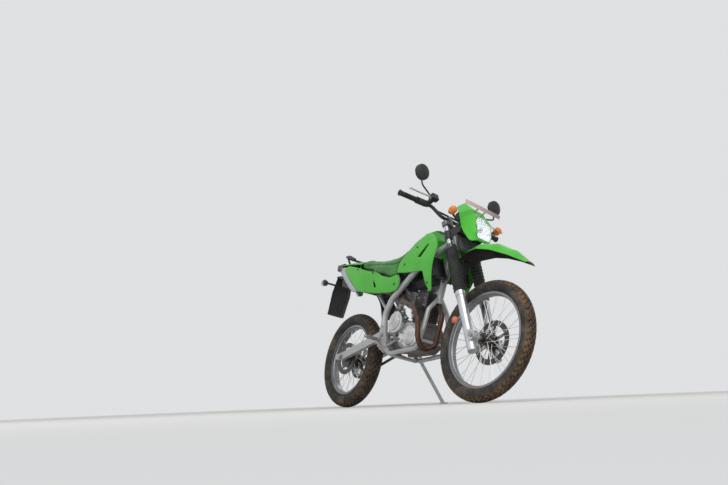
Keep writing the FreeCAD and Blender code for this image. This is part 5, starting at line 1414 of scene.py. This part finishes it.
# %% [markdown]
# ## Plates and reflector
#
# Small flat things that the rigid model leaves out. Each of them stands on a stalk or strap, but for
# the rear plate, which lies on the flap.

# %% Blank plates and the side reflector
PLATE_PAINT = plain_plastic("plate_paint", (0.52, 0.40, 0.37), 0.35, 0.45)
front_plate = [block([(252, 812), (262, 834), (265, 833), (255, 811)], -142, 142, 1.0)]
front_plate += [rod((206, y, 818), (256, y, 820), 5) for y in (-30, 30)]
fork_piece("front_plate", front_plate, PLATE_PAINT, "frame_silver")
rear_plate = [block([(-333, 800), (-336, 800), (-366, 668), (-363, 668)], -60, 60, 1.0)]
side_piece("rear_plate", rear_plate, PLATE_PAINT, "frame_silver")
fork_piece("fork_reflector", [rod((-24, -126, 150), (-24, -118, 150), 20, 28)], ORANGE_REFLECTOR,
           "amber_lens")
fork_piece("reflector_arm", [rod((-24, -119, 150), (40, -100, 150), 4)], PLAIN_STEEL, "steel")
print("plates ready")

# %% [markdown]
# ## Lamp cowl, lens and dish
#
# The cowl is a sheet seen from ahead: its outline and the lens window are drawn in that view. The
# depth at each point is the nose's at the middle, and falls back to the rear edge towards the sides.
# The lens and the dish fill the same window, scaled a little about the lamp's middle.

# %% Cowl round the lamp
COWL_ROWS = [(604, 202, 174, 76, 54), (650, 228, 164, 94, 68), (706, 238, 156, 104, 74),
             (742, 240, 156, 106, 76), (840, 214, 150, 88, 56), (940, 160, 112, 46, 32)]
LENS = [(-22, 780), (22, 780), (66, 720), (52, 616), (-52, 616), (-66, 720)]
LAMP_MIDDLE = (0, 700)
COWL_LINES = ([(30, 800), (44, 880)], [(-30, 800), (-44, 880)])


def cowl_depth(flat):
    """x = nose - (nose - rear) s^1.3, s running from 0 at the nose's edge to 1 at the outline."""
    rows = np.array(COWL_ROWS, float)
    nose, rear, half, inner = (np.interp(flat[:, 1], rows[:, 0], rows[:, k]) for k in (1, 2, 3, 4))
    s = np.clip((abs(flat[:, 0]) - inner + 14) / (half - inner + 14), 0, 1)
    x = nose - (nose - rear) * s ** 1.3
    return x - 2.0 * sum(bell(off_line(flat, line), 3.4) for line in COWL_LINES)


def faced(outline, holes, back, thick):
    """A sheet seen from ahead that follows the cowl's depth, set back by a distance or a function."""
    flat, faces = flat_net(outline, holes, NET_STEP)
    x = cowl_depth(flat) - (back(flat) if callable(back) else back)
    outer = np.stack([x, flat[:, 0], flat[:, 1]], 1)
    return thickened(outer, outer - [thick, 0, 0], faces)


def bowl_depth(flat):
    """The dish: 50 mm deep at its middle, and 6 mm on an ellipse 66 mm across and 84 mm up from it."""
    return 6 + 44 * np.clip(1 - (((flat - LAMP_MIDDLE) / (66, 84)) ** 2).sum(1), 0, 1)


edge = [(row[3], row[0]) for row in COWL_ROWS]
cowl_outline = rounded_outline(edge + [(-y, z) for y, z in edge[::-1]], 18.0)
window = rounded_outline(LENS, 14.0)
straps = [rod((128, s * 92, 730), (176, s * 92, 730), 6) for s in (1, -1)]
cowl = fork_piece("lamp_cowl", [faced(cowl_outline, (window,), 0, 4.0)] + straps, LIME_PLASTIC,
                  "lime_plastic")
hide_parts("headlight_cowl")
pane = (window - LAMP_MIDDLE) * 0.985 + LAMP_MIDDLE
lens = fork_piece("lamp_lens", [faced(pane, (), 1.5, 2.5)], LAMP_COVER, "lens_clear")
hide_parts("headlight")
rim = (window - LAMP_MIDDLE) * 1.02 + LAMP_MIDDLE
# The dish's finish carries a pale painted glow.
fork_piece("lamp_dish", [faced(rim, (), bowl_depth, 2.0)], REFLECTOR, "lens_clear")
bulb = [rod((180, 0, 700), (206, 0, 700), 11), rod((206, 0, 700), (212, 0, 700), 8)]
fork_piece("lamp_bulb", bulb, BLACK_PLASTIC, "black_plastic")
guard = [block([(92, 596), (100, 596), (104, 790), (96, 790)], -84, 84, 3.0)]
fork_piece("lamp_backing", guard, BLACK_PLASTIC, "black_plastic")
print("cowl and lamp ready")

# %% [markdown]
# ## Small things on the fork and tank
#
# Screws in the clamps, glass in the mirrors, two dials with their needles and marks, a ribbed filler
# cap, and the boxes under the tank and seat. They repeat one small shape many times.

# %% Fork, mirrors, dials and cap
def disc(radius, height, lip, way, at):
    """A thin drum that faces a way, its back on a point."""
    points, faces = drum(0, 0, 0, height, radius, lip)
    return turned_to(points, way, at), faces


def dial_line(y, z, angle, start, end, radius):
    """A thin rod outwards from a dial's middle at an angle, from one distance to another."""
    return rod(*((92, y + far * np.sin(angle), z + far * np.cos(angle)) for far in (start, end)),
               radius, 6)


fasten("clamp_screws", "steering", SCREW_STEEL, "steel", [
    (FORK, UP, MIDDLE, [(x, s * 48, 901) for x in (12, 36) for s in (1, -1)]),
    (FORK, UP, LARGE, [(34, 96, 838), (34, -96, 838), (0, 0, 842)]),
    (FORK, LEFT, MIDDLE, [(-26, 74, 40), (-26, 74, 86)]),
    (FORK, FORWARD, SMALL, [(88, s * 99, z) for s in (1, -1) for z in (-12, 12)]),
])
for word, side in SIDES:
    fork_piece(f"mirror_glass_{word}", [disc(44, 2.4, 0.6, BACK, (97, 310, 1084))], MIRROR_GLASS,
               "lens_clear", side)
dials = [disc(r, 3, 1.0, BACK, (96, y, z)) for y, z, r in ((24, 858, 26), (-32, 858, 20))]
fork_piece("dials", dials, PALE_PLASTIC, "black_plastic")
needles = [dial_line(24, 858, 1.9, 0, 17, 1.2), dial_line(-32, 858, 4.0, 0, 13, 1.0)]
needles += [dial_line(24, 858, a, 20, 23, 0.8) for a in np.radians(np.arange(-130, 131, 20))]
fork_piece("needles", needles, BLACK_PLASTIC, "black_plastic")
round_cap = np.radians(np.arange(0, 360, 20))
edge = [(816 + 30 * np.cos(a), 30 * np.sin(a)) for a in round_cap]
cap = [rod((x, y, 1066), (x, y, 1083), 2.4, 8) for x, y in edge]
cap += [disc(26, 5, 2, UP, (816, 0, 1082))]
side_piece("cap_ribs", cap, BLACK_PLASTIC, "black_plastic")
boxes = [block([(640, 716), (860, 730), (872, 792), (640, 806)], -38, 38, 12.0),
         block([(560, 806), (704, 796), (704, 900), (580, 900)], -62, 62, 12.0)]
side_piece("ignition_box", boxes, BLACK_PLASTIC, "black_plastic")
print("small things ready")

# %% [markdown]
# ## Screws of the panels
#
# Three screws hold each side cover and each shroud. The same bow and yaw that shaped the panels
# give the place of every screw on the skin.

# %% Screws of the panels
def on_panel(form, places):
    """Places (x, z) in side view, put on a panel's outer skin."""
    flat = np.asarray(places, float)
    return upright(flat, on_skin(flat, form) - 1.0)


for word, side, way in ("left", 1, LEFT), ("right", -1, RIGHT):
    held = np.concatenate([on_panel(COVER_FORM, [(100, 912), (330, 850), (620, 734)]),
                           on_panel(SHROUD_FORM, [(820, 944), (700, 852), (962, 700)])])
    fasten(f"panel_screws_{word}", "chassis", BLACK_SCREW, "black_metal",
           [(BIKE, way, MIDDLE, held * [1, side, 1])])
print("panel screws ready")
